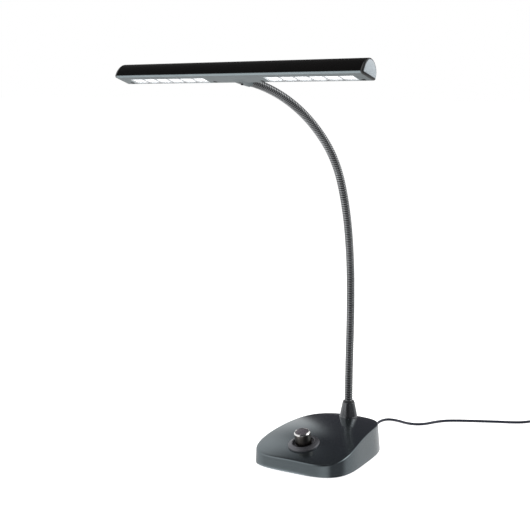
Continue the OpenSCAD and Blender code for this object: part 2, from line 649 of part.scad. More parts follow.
module bar_cover() color(grey_plastic) bar_frame() difference() {
  union() {
    along_bar(-shell_l / 2, shell_l) polygon([
      [-bar_w / 2 + cover_chamfer, 0], [bar_w / 2 - 0.8, 0], [bar_w / 2, 0.8],
      [bar_w / 2, cover_t], [-bar_w / 2, cover_t], [-bar_w / 2, cover_chamfer]]);
    snout_body(0);
  }
  for (s = [-1, 1]) translate([s * (window_start + window_l / 2), window_y, 0])
    cube([window_l, window_w, 4 * cover_t], center = true);
  for (p = cover_screw_places) translate([p[0], p[1], 0]) {
    translate([0, 0, -eps]) cylinder(r = bar_screw_r + fit, h = cover_t + 2 * eps, $fn = 24);
    translate([0, 0, -eps]) cylinder(r = screw_head_r + fit, h = eps + 0.8, $fn = 24);
  }
  socket_frame() {
    cylinder(r = neck_r + slip, h = 30);
    translate([0, snout_r + 1, 4]) rotate([90, 0, 0]) cylinder(r = bar_screw_r + slip, h = 4, $fn = 24);
  }
  translate([-3, 2, cover_t]) cube([6, 6.6, 8]);
}

module snout_screw() color("#101113") bar_frame() socket_frame()
  translate([0, snout_r - 0.2, 4]) rotate([90, 0, 0])
    cylinder(r = bar_screw_r, h = snout_r - neck_r - 0.3, $fn = 24);

module end_plug(side) {
  bar_frame() difference() {
    union() {
      along_bar(side > 0 ? shell_l / 2 : -bar_l / 2, plug_t) union() {
        bar_profile(0, cover_t);
        polygon([[-bar_w / 2 + cover_chamfer, 0], [bar_w / 2 - 0.8, 0], [bar_w / 2, 0.8],
                 [bar_w / 2, cover_t + 0.1], [-bar_w / 2, cover_t + 0.1], [-bar_w / 2, cover_chamfer]]);
      }
      along_bar(side > 0 ? shell_l / 2 - spigot_l + plug_t : -shell_l / 2 - 0.5, spigot_l - plug_t + 0.5)
        bar_profile(bar_wall + fit, cover_t);
    }
    along_bar(side > 0 ? bar_l / 2 - 0.6 : -bar_l / 2 - 1, 1.6) bar_profile(1.2, 1.3);
    translate([side * (bar_l / 2 - end_screw), screw_row_y, -eps])
      cylinder(r = bar_screw_r + slip, h = cover_t + 2 + eps, $fn = 24);
  }
}
module end_plug_left() color("#0e0e10") end_plug(-1);
module end_plug_right() color("#0e0e10") end_plug(1);

module end_plate(side) {
  bar_frame() along_bar(side > 0 ? bar_l / 2 - 0.6 : -bar_l / 2 - 0.2, 0.8) bar_profile(1.2 + slip, 1.35);
}
module end_plate_left() color("#aab1b5") end_plate(-1);
module end_plate_right() color("#aab1b5") end_plate(1);

module pane(side) {
  bar_frame() translate([side * (window_start + window_l / 2), window_y, cover_t - pane_t / 2])
    cube([window_l - 2 * fit, window_w - 2 * fit, pane_t], center = true);
}
module window_left() color("#e8eef2", 0.5) pane(-1);
module window_right() color("#e8eef2", 0.5) pane(1);

// white tray over the window with one open cell for each LED
module reflector(side) {
  bar_frame() translate([side > 0 ? window_start : -window_start - window_l, 0, cover_t])
    difference() {
      translate([-tray_wall, tray_front, 0])
        cube([window_l + 2 * tray_wall, tray_back - tray_front, tray_h]);
      for (i = [0 : cells - 1]) translate([(i + 0.5) * cell_l, tray_y, 0]) {
        translate([-cell_l / 2 + tray_wall, tray_front + tray_wall - tray_y, -eps])
          cube([cell_l - 2 * tray_wall, tray_back - tray_front - 2 * tray_wall, tray_h - 0.8 + eps]);
        translate([-led_w / 2 - 0.3, -led_w / 2 - 0.3, 0]) cube([led_w + 0.6, led_w + 0.6, tray_h + eps]);
      }
    }
}
module reflector_left() color("#f4f6f7") reflector(-1);
module reflector_right() color("#f4f6f7") reflector(1);

module led_board(side) {
  bar_frame() translate([side > 0 ? window_start : -window_start - window_l,
                         tray_y - led_board_w / 2, cover_t + tray_h])
    cube([window_l, led_board_w, led_board_t]);
}
module led_board_left() color("#e9ecec") led_board(-1);
module led_board_right() color("#e9ecec") led_board(1);

module leds(side) {
  bar_frame() for (i = [0 : cells - 1])
    translate([side * (window_start + (i + 0.5) * cell_l) - led_w / 2, tray_y - led_w / 2,
               cover_t + tray_h - led_t]) cube([led_w, led_w, led_t]);
}
module leds_left() color("#f2dc72") leds(-1);
module leds_right() color("#f2dc72") leds(1);

// steel strip on the cover that takes the load of the snout and its two screws
module bar_bracket() color(steel) bar_frame() difference() {
  translate([-window_start + 2.4, -6.5, cover_t])
    cube([2 * window_start - 4.8, 6.5 + inside_w(cover_t + bracket_t) - 0.2, bracket_t]);
  translate([-snout_front_w / 2 - 0.3, -1.3, cover_t - eps]) cube([snout_front_w + 0.6, 12, 4]);
  for (s = [-1, 1]) translate([s * inner_screw_x, screw_row_y, cover_t - eps])
    cylinder(r = bar_screw_r + slip, h = 4, $fn = 24);
}

module cover_screws() color("#101113") bar_frame() for (p = cover_screw_places)
  translate([p[0], p[1], 0]) {
    translate([0, 0, 0.1]) cylinder(r = screw_head_r, h = 0.7, $fn = 24);
    translate([0, 0, 0.5]) cylinder(r = bar_screw_r, h = cover_t + 1, $fn = 24);
  }

// ================= cord =================
module cord_gland() color(rubber) translate([0, gland_pocket_y, gland_z]) rotate([-90, 0, 0])
  rotate_extrude() polygon([
    [0, -base_wall - 1.4], [gland_hole_r + 0.7, -base_wall - 1.4], [gland_hole_r + 0.7, -base_wall - 0.2],
    [gland_hole_r - slip, -base_wall - 0.2], [gland_hole_r - slip, 0], [gland_flange_r, 0],
    [gland_flange_r, gland_flange_t * 0.7], [gland_flange_r - 0.6, gland_flange_t],
    [gland_hole_r, gland_flange_t], [cord_r + 0.4, gland_flange_t + gland_l],
    [0, gland_flange_t + gland_l]]);

module cord_lead() color("#1b2033") tube(concat([lead_route[0], lead_route[0] + [0, cord_d, 0]],
  [for (i = [1 : len(lead_route) - 1]) lead_route[i]],
  [coil_first - 2 * cord_d * coil_way_in, coil_first - cord_d * coil_way_in]), cord_r, 8, [0, 0, 1]);

tail_end = [coil_last[0], coil_last[1], 0] + tail_l * [coil_way_out[0], coil_way_out[1], 0] + [0, 0, plug_r];
module cord_coil() color("#1b2033") tube(concat([coil_first - cord_d * coil_way_in], coil_line,
  [coil_last + cord_d * coil_way_out, tail_end - cord_d * coil_way_out, tail_end]), cord_r, coil_sides, [0, 0, 1]);

module cord_plug() color(rubber) translate(tail_end)
  rotate([0, 90, atan2(coil_way_out[1], coil_way_out[0])]) rotate_extrude() polygon([
    [0, 0], [cord_r + 0.5, 0], [plug_r * 0.6, plug_relief_l], [plug_r - 0.5, plug_relief_l + 0.6],
    [plug_r, plug_relief_l + 1.6], [plug_r, plug_relief_l + plug_l - 8.5], [plug_r - 0.5, plug_relief_l + plug_l - 8],
    [2.75, plug_relief_l + plug_l - 8], [2.75, plug_relief_l + plug_l], [0, plug_relief_l + plug_l]]);

base_shell();
bottom_plate();
ballast_block();
base_pad();
base_screws();
knob_ring();
dimmer_control();
dimmer_washer();
dimmer_nut();
dimmer_board();
driver_parts();
base_wires();
neck_ferrule();
neck_washer();
neck_nut();
neck_sleeve();
sleeve_collar();
cord_gland();
gooseneck_foot();
dimmer_shaft();
dimmer_knob();
knob_cap();
gooseneck_low();
gooseneck_middle();
gooseneck_high();
gooseneck_top();
gooseneck_end();
bar_shell();
bar_cover();
end_plug_left();
end_plug_right();
end_plate_left();
end_plate_right();
window_left();
window_right();
reflector_left();
reflector_right();
led_board_left();
led_board_right();
leds_left();
leds_right();
bar_bracket();
snout_screw();
cover_screws();
bar_wires();
cord_lead();
cord_coil();
cord_plug();
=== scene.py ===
import math

import bmesh
import bpy
from mathutils import Matrix, Vector


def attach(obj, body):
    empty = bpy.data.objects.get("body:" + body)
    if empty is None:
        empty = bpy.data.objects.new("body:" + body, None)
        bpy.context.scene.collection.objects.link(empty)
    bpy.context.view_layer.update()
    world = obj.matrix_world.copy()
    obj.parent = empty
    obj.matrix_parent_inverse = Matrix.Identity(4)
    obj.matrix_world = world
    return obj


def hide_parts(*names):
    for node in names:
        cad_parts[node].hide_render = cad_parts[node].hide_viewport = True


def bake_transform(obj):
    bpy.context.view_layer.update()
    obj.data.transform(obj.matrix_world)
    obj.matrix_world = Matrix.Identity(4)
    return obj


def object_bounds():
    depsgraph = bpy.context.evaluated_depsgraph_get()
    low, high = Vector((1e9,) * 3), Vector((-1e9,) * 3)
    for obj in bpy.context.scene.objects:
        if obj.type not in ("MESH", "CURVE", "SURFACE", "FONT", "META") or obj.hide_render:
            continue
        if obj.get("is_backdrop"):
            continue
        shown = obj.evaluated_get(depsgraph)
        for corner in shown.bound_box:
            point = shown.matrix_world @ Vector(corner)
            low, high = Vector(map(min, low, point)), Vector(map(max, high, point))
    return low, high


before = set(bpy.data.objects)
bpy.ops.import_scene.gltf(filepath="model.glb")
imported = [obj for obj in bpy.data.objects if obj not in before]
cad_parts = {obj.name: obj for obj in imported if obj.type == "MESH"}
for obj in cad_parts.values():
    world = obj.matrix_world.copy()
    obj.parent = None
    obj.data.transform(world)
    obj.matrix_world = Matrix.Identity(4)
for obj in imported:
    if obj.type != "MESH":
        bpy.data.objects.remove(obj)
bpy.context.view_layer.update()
mm = 0.001

# ======================================================================= camera
# The lamp is seen from its front right, from a little above the light bar, through
# a long lens.
camera_data = bpy.data.cameras.new("camera")
focal_px, photo_px = 1263.26, 530
camera_data.sensor_width = 36
camera_data.lens = 36 * focal_px / photo_px
camera_data.clip_end = 20
turn, dip = 0.5838, 0.1503  # radians to the left of +y, and downward
camera_at = (0.61913, -1.04328, 0.3755147)
right = Vector((math.cos(turn), math.sin(turn), 0))
ahead = Vector((-math.sin(turn) * math.cos(dip), math.cos(turn) * math.cos(dip), -math.sin(dip)))
camera = bpy.data.objects.new("camera", camera_data)
camera.matrix_world = Matrix.Translation(camera_at) @ Matrix(
    (right, right.cross(ahead), -ahead)).transposed().to_4x4()
bpy.context.scene.collection.objects.link(camera)
bpy.context.scene.camera = camera

# ========================================================================= cord
# A thin low-voltage lead with a dark blue-black PVC jacket. It leaves the gland in the back
# wall, lies on the floor in two easy bends, and the spare length is coiled in two layers.
cord_d = 2.8 * mm
cord_lie = 1.4  # height of its middle on the floor, in mm


def surface_skin():
    """Node group: slow mottling of colour, grain in the height, and roughness that follows both."""
    group = bpy.data.node_groups.new("surface skin", "ShaderNodeTree")
    face = group.interface
    for name, kind, value in [("Colour", "NodeSocketColor", (0.5, 0.5, 0.5, 1)),
                              ("Second colour", "NodeSocketColor", (0.4, 0.4, 0.4, 1)),
                              ("Mottle scale", "NodeSocketFloat", 30), ("Grain scale", "NodeSocketFloat",
            1500), ("Roughness low", "NodeSocketFloat", 0.3), ("Roughness high", "NodeSocketFloat",
            0.45)]:
        face.new_socket(name, in_out="INPUT", socket_type=kind).default_value = value
    face.new_socket("Colour", in_out="OUTPUT", socket_type="NodeSocketColor")
    face.new_socket("Roughness", in_out="OUTPUT", socket_type="NodeSocketFloat")
    face.new_socket("Height", in_out="OUTPUT", socket_type="NodeSocketFloat")
    node, link = group.nodes.new, group.links.new
    given, out, place = node("NodeGroupInput"), node("NodeGroupOutput"), node("ShaderNodeTexCoord")
    mottle, grain = node("ShaderNodeTexNoise"), node("ShaderNodeTexNoise")
    mottle.inputs["Detail"].default_value = 3
    grain.inputs["Detail"].default_value = 2
    for noise, scale in ((mottle, "Mottle scale"), (grain, "Grain scale")):
        link(place.outputs["Object"], noise.inputs["Vector"])
        link(given.outputs[scale], noise.inputs["Scale"])
    share = node("ShaderNodeMapRange")
    share.inputs["From Min"].default_value, share.inputs["From Max"].default_value = 0.35, 0.65
    link(mottle.outputs["Fac"], share.inputs["Value"])
    mix = node("ShaderNodeMix")
    mix.data_type = "RGBA"
    link(share.outputs["Result"], mix.inputs["Factor"])
    link(given.outputs["Colour"], mix.inputs["A"])
    link(given.outputs["Second colour"], mix.inputs["B"])
    link(mix.outputs["Result"], out.inputs["Colour"])
    rough = node("ShaderNodeMapRange")
    link(grain.outputs["Fac"], rough.inputs["Value"])
    rough.inputs["From Min"].default_value, rough.inputs["From Max"].default_value = 0.3, 0.7
    link(given.outputs["Roughness low"], rough.inputs["To Min"])
    link(given.outputs["Roughness high"], rough.inputs["To Max"])
    link(rough.outputs["Result"], out.inputs["Roughness"])
    link(grain.outputs["Fac"], out.inputs["Height"])
    return group


skin = surface_skin()


def finish_of(name, colour, second, rough, grain=1500, depth=0.02, mottle=30, metallic=0.0,
              coat=0.0, coat_rough=0.1):
    """Material with the surface skin on a Principled shader: rough is (low, high), depth in mm."""
    material = bpy.data.materials.new(name)
    material.use_nodes = True
    nodes, links = material.node_tree.nodes, material.node_tree.links
    shader = nodes["Principled BSDF"]
    skin_node = nodes.new("ShaderNodeGroup")
    skin_node.node_tree = skin
    for socket, value in [("Colour", (*colour, 1)), ("Second colour", (*second, 1)),
                          ("Mottle scale", mottle), ("Grain scale", grain), ("Roughness low", rough[0]),
                          ("Roughness high", rough[1])]:
        skin_node.inputs[socket].default_value = value
    bump = nodes.new("ShaderNodeBump")
    bump.inputs["Distance"].default_value = depth * mm
    links.new(skin_node.outputs["Colour"], shader.inputs["Base Color"])
    links.new(skin_node.outputs["Roughness"], shader.inputs["Roughness"])
    links.new(skin_node.outputs["Height"], bump.inputs["Height"])
    links.new(bump.outputs["Normal"], shader.inputs["Normal"])
    shader.inputs["Metallic"].default_value = metallic
    shader.inputs["Coat Weight"].default_value = coat
    shader.inputs["Coat Roughness"].default_value = coat_rough
    return material


def smooth_route(route, parts):
    """Points along a smooth line through the route's points."""
    line = []
    for i in range(len(route) - 1):
        p0, p1, p2, p3 = (route[min(max(k, 0), len(route) - 1)] for k in (i - 1, i, i + 1, i + 2))
        for j in range(parts):
            t = j / parts
            line.append(0.5 * ((2 * p1) + (p2 - p0) * t + (2 * p0 - 5 * p1 + 4 * p2 - p3) * t * t
                               + (3 * p1 - p0 - 3 * p2 + p3) * t ** 3))
    return line + [route[-1]]


coil_centre = Vector((160, 238, 0))
coil_turns, coil_pitch = 5.5, 3.25
coil_inner = 16.5 - coil_turns * coil_pitch / 2
coil_start = math.radians(155)


def coil_at(turns):
    """Middle of the cord so many turns into the coil, in mm: inwards on the floor, outwards on top."""
    radius = coil_inner + coil_pitch * abs(turns - coil_turns)
    angle = coil_start - 2 * math.pi * turns
    x = min(max(2 * (turns - coil_turns) + 0.5, 0), 1)
    height = cord_lie + coil_pitch * x * x * (3 - 2 * x)
    return coil_centre + Vector((radius * math.cos(angle), radius * math.sin(angle), height))


from_gland = [(0, 79.7326, 7.5), (-0.5, 92, 5), (-3, 106, 2.6)]
on_floor = [(-7, 119), (-10.5, 131), (-11.6, 142), (-9, 149.5), (-3, 152), (5, 151.3), (12, 149.3),
            (19, 148.5), (26, 150), (32, 154.7), (36, 161.5), (40, 170.3), (45, 178), (53, 185),
            (65, 192), (80, 200), (95, 207.5), (109, 214), (121, 223)]
lead_points = [Vector(p) for p in from_gland] + [Vector((x, y, cord_lie)) for x, y in on_floor]
way_in = (coil_at(0.01) - coil_at(0)).normalized()
way_out = (coil_at(11) - coil_at(10.99)).normalized()
cord_line = smooth_route(lead_points + [coil_at(0) - way_in * 5.6, coil_at(0) - way_in * 2.8], 4)
cord_line += [coil_at(i / 24) for i in range(11 * 24 + 1)]
plug_at = Vector((coil_at(11).x, coil_at(11).y, 4.6)) + Vector((way_out.x, way_out.y, 0)) * 14
cord_line += [coil_at(11) + way_out * 2.8, plug_at - way_out * 2.8, plug_at]

cord_curve = bpy.data.curves.new("cord", "CURVE")
cord_curve.dimensions = "3D"
cord_curve.bevel_depth = cord_d / 2
cord_curve.bevel_resolution = 3
cord_curve.use_fill_caps = True
spline = cord_curve.splines.new("POLY")
spline.points.add(len(cord_line) - 1)
for spline_point, p in zip(spline.points, cord_line):
    spline_point.co = (*(p * mm), 1)
cord = bpy.data.objects.new("cord", cord_curve)
bpy.context.scene.collection.objects.link(cord)
cord_pvc = finish_of("cord jacket", (0.012, 0.014, 0.026), (0.018, 0.021, 0.036), (0.34, 0.44), 900, 0.02)
cord_curve.materials.append(cord_pvc)
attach(cord, "base")
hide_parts("cord_lead", "cord_coil")

# =================================================================== cord plug
# The connector on the end of the lead: a moulded grip with a bend relief, shallow grip
# ribs, and a bare contact barrel.


def new_piece(name, points, faces, material, sharp=35):
    """Object from points in mm and faces, smooth except where faces meet above sharp degrees."""
    mesh = bpy.data.meshes.new(name)
    mesh.from_pydata([Vector(p) * mm for p in points], [], faces)
    piece = bpy.data.objects.new(name, mesh)
    bpy.context.scene.collection.objects.link(piece)
    mesh.materials.append(material)
    shade(piece, sharp)
    return piece


def shade(piece, sharp=35):
    """Recalculates the normals, welds doubled points and marks the sharp edges."""
    made = bmesh.new()
    made.from_mesh(piece.data)
    bmesh.ops.remove_doubles(made, verts=made.verts, dist=1e-7)
    bmesh.ops.recalc_face_normals(made, faces=made.faces)
    for edge in made.edges:
        edge.smooth = len(edge.link_faces) == 2 and edge.calc_face_angle(0) < math.radians(sharp)
    for face in made.faces:
        face.smooth = True
    made.to_mesh(piece.data)
    made.free()


def lathe(name, profile, place, material, steps=96, sharp=35):
    """Turned piece: a closed profile of (radius, height) in mm, set by the matrix place."""
    points, faces, n = [], [], len(profile)
    for i in range(steps):
        a = 2 * math.pi * i / steps
        points += [place @ Vector((r * math.cos(a), r * math.sin(a), z)) for r, z in profile]
        j = (i + 1) % steps
        for k in range(n):
            m = (k + 1) % n
            corners = [i * n + k, j * n + k, j * n + m, i * n + m]
            if profile[k][0] == 0 and profile[m][0] == 0:
                continue
            if profile[k][0] == 0:
                corners = [i * n + k, j * n + m, i * n + m]
            elif profile[m][0] == 0:
                corners = [i * n + k, j * n + k, i * n + m]
            faces.append(corners)
    return new_piece(name, points, faces, material, sharp)


def rounded(corners, radius, steps=4):
    """Profile with rounded corners, each given as (r, z) or (r, z, its own radius)."""
    profile, n = [], len(corners)
    for i, corner in enumerate(corners):
        here = Vector(corner[:2])
        own = corner[2] if len(corner) > 2 else radius
        back, on = Vector(corners[i - 1][:2]) - here, Vector(corners[(i + 1) % n][:2]) - here
        own = min(own, back.length * 0.49, on.length * 0.49)
        if own < 0.02:
            profile.append(tuple(here))
            continue
        a, b = here + back.normalized() * own, here + on.normalized() * own
        for k in range(steps + 1):
            t = k / steps
            profile.append(tuple(a * (1 - t) ** 2 + here * 2 * t * (1 - t) + b * t * t))
    return profile


plug_place = Matrix.Translation(plug_at) @ way_out.to_track_quat("Z", "Y").to_matrix().to_4x4()
grip = [(0, 0, 0), (1.9, 0, 0.2), (2.7, 9, 0.4), (4.1, 9.6, 0.4), (4.6, 10.6, 0.6)]
for k in range(5):
    z = 13 + 2.4 * k
    grip += [(4.6, z, 0.2), (4.25, z + 0.4, 0.2), (4.25, z + 0.9, 0.2), (4.6, z + 1.3, 0.2)]
grip += [(4.6, 26.5, 0.4), (4.1, 27, 0.3), (2.76, 27, 0), (2.7, 26.4, 0), (0, 26.4, 0)]
plug_grip = lathe("cord_plug_grip", rounded(grip, 0.3), plug_place,
                  finish_of("plug grip", (0.016, 0.016, 0.018), (0.024, 0.024, 0.027), (0.4, 0.55), 1200,
                            0.05), 48)
barrel_metal = finish_of("plug barrel", (0.62, 0.62, 0.64), (0.55, 0.55, 0.57), (0.18, 0.3), 2500, 0.01,
                         metallic=1.0)
plug_barrel = lathe("cord_plug_barrel",
                    rounded([(1.0, 26.5, 0), (2.74, 26.5, 0), (2.74, 35, 0.3), (1.0, 35, 0.2)], 0.2),
                    plug_place, barrel_metal, 48)
for piece in (plug_grip, plug_barrel):
    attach(piece, "base")
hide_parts("cord_plug")

# =================================================================== base shell
# Moulded housing with an arched top, tapered plan and leaning side walls, in charcoal with a
# satin metallic finish. The ring, the sleeve and the cord gland sit in pockets of the shell,
# the sleeve's over a low boss. All sizes are in mm.
front_w, back_w, depth_y, squareness = 112.6, 77.6, 131, 3.65
mid_w, taper = (front_w + back_w) / 2, (front_w - back_w) / (front_w + back_w)
edge_r = 1.1
front_h, back_rise, arch, crown = 10, 14, 9.4, 2.9
lean_front, lean_more = 1.6, 3.4  # degrees: at the front, and how much more at the back
foot_z, skin_t = 0.8, 2.4


def top_z(x, y):
    """Height of the base's top, in mm."""
    return (front_h + back_rise * (y / depth_y + 0.5) + arch * (1 - (2 * y / depth_y) ** 2)
            + crown * (1 - (2 * x / mid_w) ** 2))


def plan_at(angle, inset):
    """Point of the base's outline in that direction, set in from its edge."""
    c, s = math.cos(angle), math.sin(angle)
    rho = (abs(c) ** squareness + abs(s) ** squareness) ** (-1 / squareness)
    return ((mid_w / 2 - inset) * rho * c * (1 - taper * rho * s), (depth_y / 2 - inset) * rho * s)


def lean_in(angle, z):
    """How far the side wall has leaned in at height z."""
    share = plan_at(angle, 0)[1] / depth_y + 0.5
    return z * math.tan(math.radians(lean_front + lean_more * share))


plan_steps = 192
directions = [2 * math.pi * k / plan_steps for k in range(plan_steps)]


def level_ring(inset, z):
    return [(*plan_at(a, inset), z) for a in directions]


def top_ring(inset, drop, share=1.0):
    """Ring that follows the top, drop under it, drawn in to share of its size."""
    ring = []
    for a in directions:
        wall_in = lean_in(a, top_z(*plan_at(a, 0)) - edge_r)
        x, y = (share * v for v in plan_at(a, wall_in + inset))
        ring.append((x, y, top_z(x, y) - drop))
    return ring


def wall_ring(inset, part):
    """Ring part of the way up the outside wall."""
    ring = []
    for a in directions:
        high = top_z(*plan_at(a, 0)) - edge_r
        z = foot_z + (high - foot_z) * part
        ring.append((*plan_at(a, lean_in(a, z) + inset), z))
    return ring


def loft(name, rings, material, sharp=35):
    """Skin over rings of equal length, with the ends filled from their middle points."""
    n = len(rings[0])
    points = [p for ring in rings for p in ring]
    faces = [[i * n + k, i * n + (k + 1) % n, (i + 1) * n + (k + 1) % n, (i + 1) * n + k]
             for i in range(len(rings) - 1) for k in range(n)]
    for ring, start in ((rings[0], 0), (rings[-1], (len(rings) - 1) * n)):
        points.append(sum((Vector(p) for p in ring), Vector()) / n)
        faces += [[start + k, start + (k + 1) % n, len(points) - 1] for k in range(n)]
    return new_piece(name, points, faces, material, sharp)


def cut(piece, cutters, sharp=35):
    """Takes the cutters out of the piece, and removes them."""
    bpy.context.view_layer.update()
    for cutter in cutters:
        tool = piece.modifiers.new("cut", "BOOLEAN")
        tool.operation, tool.solver, tool.object = "DIFFERENCE", "EXACT", cutter
    cut_piece = piece.evaluated_get(bpy.context.evaluated_depsgraph_get())
    final = bpy.data.meshes.new_from_object(cut_piece)
    piece.modifiers.clear()
    piece.data = final
    for cutter in cutters:
        bpy.data.objects.remove(cutter)
    shade(piece, sharp)


base_satin = finish_of("base satin gunmetal", (0.155, 0.18, 0.192), (0.14, 0.165, 0.178), (0.15, 0.19),
                       2600, 0.004, mottle=14, metallic=0.92)
rings = [level_ring(0.5, foot_z), level_ring(0.16, 0.94), level_ring(0.11, 1.3)]
rings += [wall_ring(0, part) for part in (0.2, 0.4, 0.6, 0.8, 1.0)]
rings += [top_ring(edge_r * (1 - math.cos(a)), edge_r * (1 - math.sin(a)))
          for a in (math.radians(15 * k) for k in range(1, 7))]
rings += [top_ring(edge_r, 0, 1 - 0.045 * k) for k in range(1, 22)]
base_shell = loft("base_shell_skin", rings, base_satin, sharp=50)
hollow = [level_ring(skin_t, -2), level_ring(skin_t, 3.1), top_ring(skin_t, 4.0), top_ring(4.0, skin_t)]
hollow += [top_ring(4.0, skin_t, share) for share in (0.8, 0.6, 0.4, 0.2, 0.05)]
knob_y = -38
knob_lean = math.atan(back_rise / depth_y - 8 * arch * knob_y / depth_y ** 2)
knob_place = Matrix.Translation((0, knob_y, top_z(0, knob_y))) @ Matrix.Rotation(knob_lean, 4, "X")
neck_y, seat_z = 48.5, 28.8294
neck_place = Matrix.Translation((0, neck_y, seat_z))
gland_l = 15.5
gland_y, gland_z = 79.7326 - gland_l, 7.5
gland_place = Matrix.Translation((0, gland_y, gland_z)) @ Matrix.Rotation(-math.pi / 2, 4, "X")
cutters = [loft("hollow", hollow, base_satin)]
for place, radius, low, high in [(knob_place, 15.55, -0.8, 6), (knob_place, 3.75, -6, 2),
                                 (neck_place, 9.35, 0, 6), (neck_place, 5.15, -6, 2),
                                 (gland_place, 4.45, 0, 6), (gland_place, 3.0, -8, 2)]:
    cutters.append(lathe("cutter", [(0, low), (radius, low), (radius, high), (0, high)], place,
                         base_satin, 72))
cut(base_shell, cutters, 40)
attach(base_shell, "base")
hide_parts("base_shell")
neck_boss = lathe("base_neck_boss",
                  rounded([(5.15, -2.2, 0), (9.15, -2.2, 0), (9.15, -0.02, 0.15), (5.15, -0.02, 0)], 0.1),
                  neck_place, base_satin, 96)
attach(neck_boss, "base")

# ================================================= bottom plate, ballast, pad, screws
# What closes the base from below: a pressed steel plate, the cast weight above it, a rubber
# sheet that stands on the table, and four plated screws.


def dress(node, material):
    """Gives a solid of the frame its finish."""
    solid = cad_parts[node]
    solid.data.materials.clear()
    solid.data.materials.append(material)


plated = finish_of("plated steel", (0.5, 0.5, 0.51), (0.42, 0.42, 0.43), (0.25, 0.42), 1800, 0.01,
                   metallic=1.0)
cast = finish_of("cast weight", (0.09, 0.09, 0.092), (0.06, 0.06, 0.062), (0.6, 0.8), 700, 0.15,
                 metallic=0.6)
pad_rubber = finish_of("pad rubber", (0.02, 0.02, 0.021), (0.03, 0.03, 0.031), (0.7, 0.85), 1100, 0.1)
for node in ("bottom_plate", "base_screws"):
    dress(node, plated)
dress("ballast_block", cast)
dress("base_pad", pad_rubber)

# ===================================================================== knob ring
# Moulded ring pressed into the shell round the knob: its outside rises in a low cone to a
# rounded crest and drops into a dark recess.
ring_grey = finish_of("ring grey", (0.15, 0.152, 0.165), (0.13, 0.132, 0.143), (0.4, 0.48), 2600, 0.012,
                      mottle=60, metallic=0.85)
knob_ring = lathe("knob_ring_turned",
                  rounded([(3.75, -0.8, 0), (15.4, -0.8, 0.1), (15.4, 0.9, 0.35), (14.8, 1.4, 0.5),
                           (11.7, 2.9, 0.5), (11.1, 3.0, 0.3), (10.3, 2.6, 0.4), (10.2, 0.5, 0.2),
                           (9.9, 0.4, 0.2), (3.75, 0.4, 0)], 0.3, 5), knob_place, ring_grey, 144, 50)
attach(knob_ring, "base")
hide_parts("knob_ring")

# ================================================= dimmer control under the knob
# The dimmer itself: a moulded body with a plated bushing and shaft, its washer and nut, the
# green circuit board with the driver's parts, and the wires.
dress("dimmer_control", finish_of("control body", (0.03, 0.06, 0.17), (0.025, 0.05, 0.14), (0.4, 0.5),
                                  1500, 0.02))
dress("dimmer_board", finish_of("circuit board", (0.02, 0.11, 0.045), (0.015, 0.08, 0.035), (0.3, 0.45),
                                900, 0.03, mottle=160, coat=0.4))
dress("driver_parts", finish_of("driver parts", (0.02, 0.02, 0.022), (0.03, 0.03, 0.032), (0.35, 0.5),
                                1500, 0.03))
wire_red = finish_of("wire jacket", (0.35, 0.025, 0.02), (0.28, 0.02, 0.018), (0.35, 0.45), 1500, 0.02)
for node in ("base_wires", "bar_wires"):
    dress(node, wire_red)
for node in ("dimmer_washer", "dimmer_nut", "dimmer_shaft"):
    dress(node, plated)

# ========================================================================== knob
# Turned metal knob in dark chrome: a plain side with fine turning lines, a bright cut chamfer
# round the top, and a dark disc let into its top face.


def turned_metal(name, colour, second, rough, place, pitch, depth):
    """Plated metal with fine turning lines round the axis of place; pitch and depth in mm."""
    material = finish_of(name, colour, second, rough, 1600, depth, 40, 1.0)
    nodes, links = material.node_tree.nodes, material.node_tree.links
    bump = nodes["Bump"]
    coords, turned = nodes.new("ShaderNodeTexCoord"), nodes.new("ShaderNodeMapping")
    turned.vector_type = "TEXTURE"
    turned.inputs["Location"].default_value = place.translation * mm
    turned.inputs["Rotation"].default_value = place.to_euler()
    split, flat = nodes.new("ShaderNodeSeparateXYZ"), nodes.new("ShaderNodeVectorMath")
    flat.operation = "MULTIPLY"
    flat.inputs[1].default_value = (1, 1, 0)
    reach = nodes.new("ShaderNodeVectorMath")
    reach.operation = "LENGTH"
    total, wave, scaled = (nodes.new("ShaderNodeMath") for _ in range(3))
    links.new(coords.outputs["Object"], turned.inputs["Vector"])
    links.new(turned.outputs["Vector"], split.inputs["Vector"])
    links.new(turned.outputs["Vector"], flat.inputs[0])
    links.new(flat.outputs["Vector"], reach.inputs[0])
    links.new(split.outputs["Z"], total.inputs[0])
    links.new(reach.outputs["Value"], total.inputs[1])
    scaled.operation = "MULTIPLY"
    scaled.inputs[1].default_value = 2 * math.pi / (pitch * mm)
    links.new(total.outputs["Value"], scaled.inputs[0])
    wave.operation = "SINE"
    links.new(scaled.outputs["Value"], wave.inputs[0])
    links.new(wave.outputs["Value"], bump.inputs["Height"])
    return material


dark_chrome = turned_metal("dark chrome", (0.15, 0.138, 0.128), (0.125, 0.116, 0.108), (0.3, 0.36),
                           knob_place, 0.45, 0.004)
knob = lathe("dimmer_knob_turned",
             rounded([(3.05, 4.2, 0), (4.6, 4.2, 0.2), (4.6, 10.9, 0.2), (6.5, 10.9, 0.3),
                      (6.5, 1.6, 0.1), (7.9, 1.6, 0.25), (7.9, 12.4, 0), (6.6, 12.4, 0), (6.6, 13.1, 0),
                      (3.05, 13.1, 0)], 0.2, 4), knob_place, dark_chrome, 144, 30)
bright_chrome = turned_metal("bright chamfer", (0.8, 0.79, 0.77), (0.74, 0.73, 0.72), (0.1, 0.16),
                             knob_place, 0.3, 0.003)
chamfer = lathe("knob_bright_chamfer",
                rounded([(6.62, 12.4, 0), (7.9, 12.4, 0), (7.9, 12.6, 0.1), (6.95, 13.8, 0.2),
                         (6.7, 13.8, 0.1), (6.62, 13.6, 0.05)], 0.1, 4), knob_place, bright_chrome, 144,
                40)
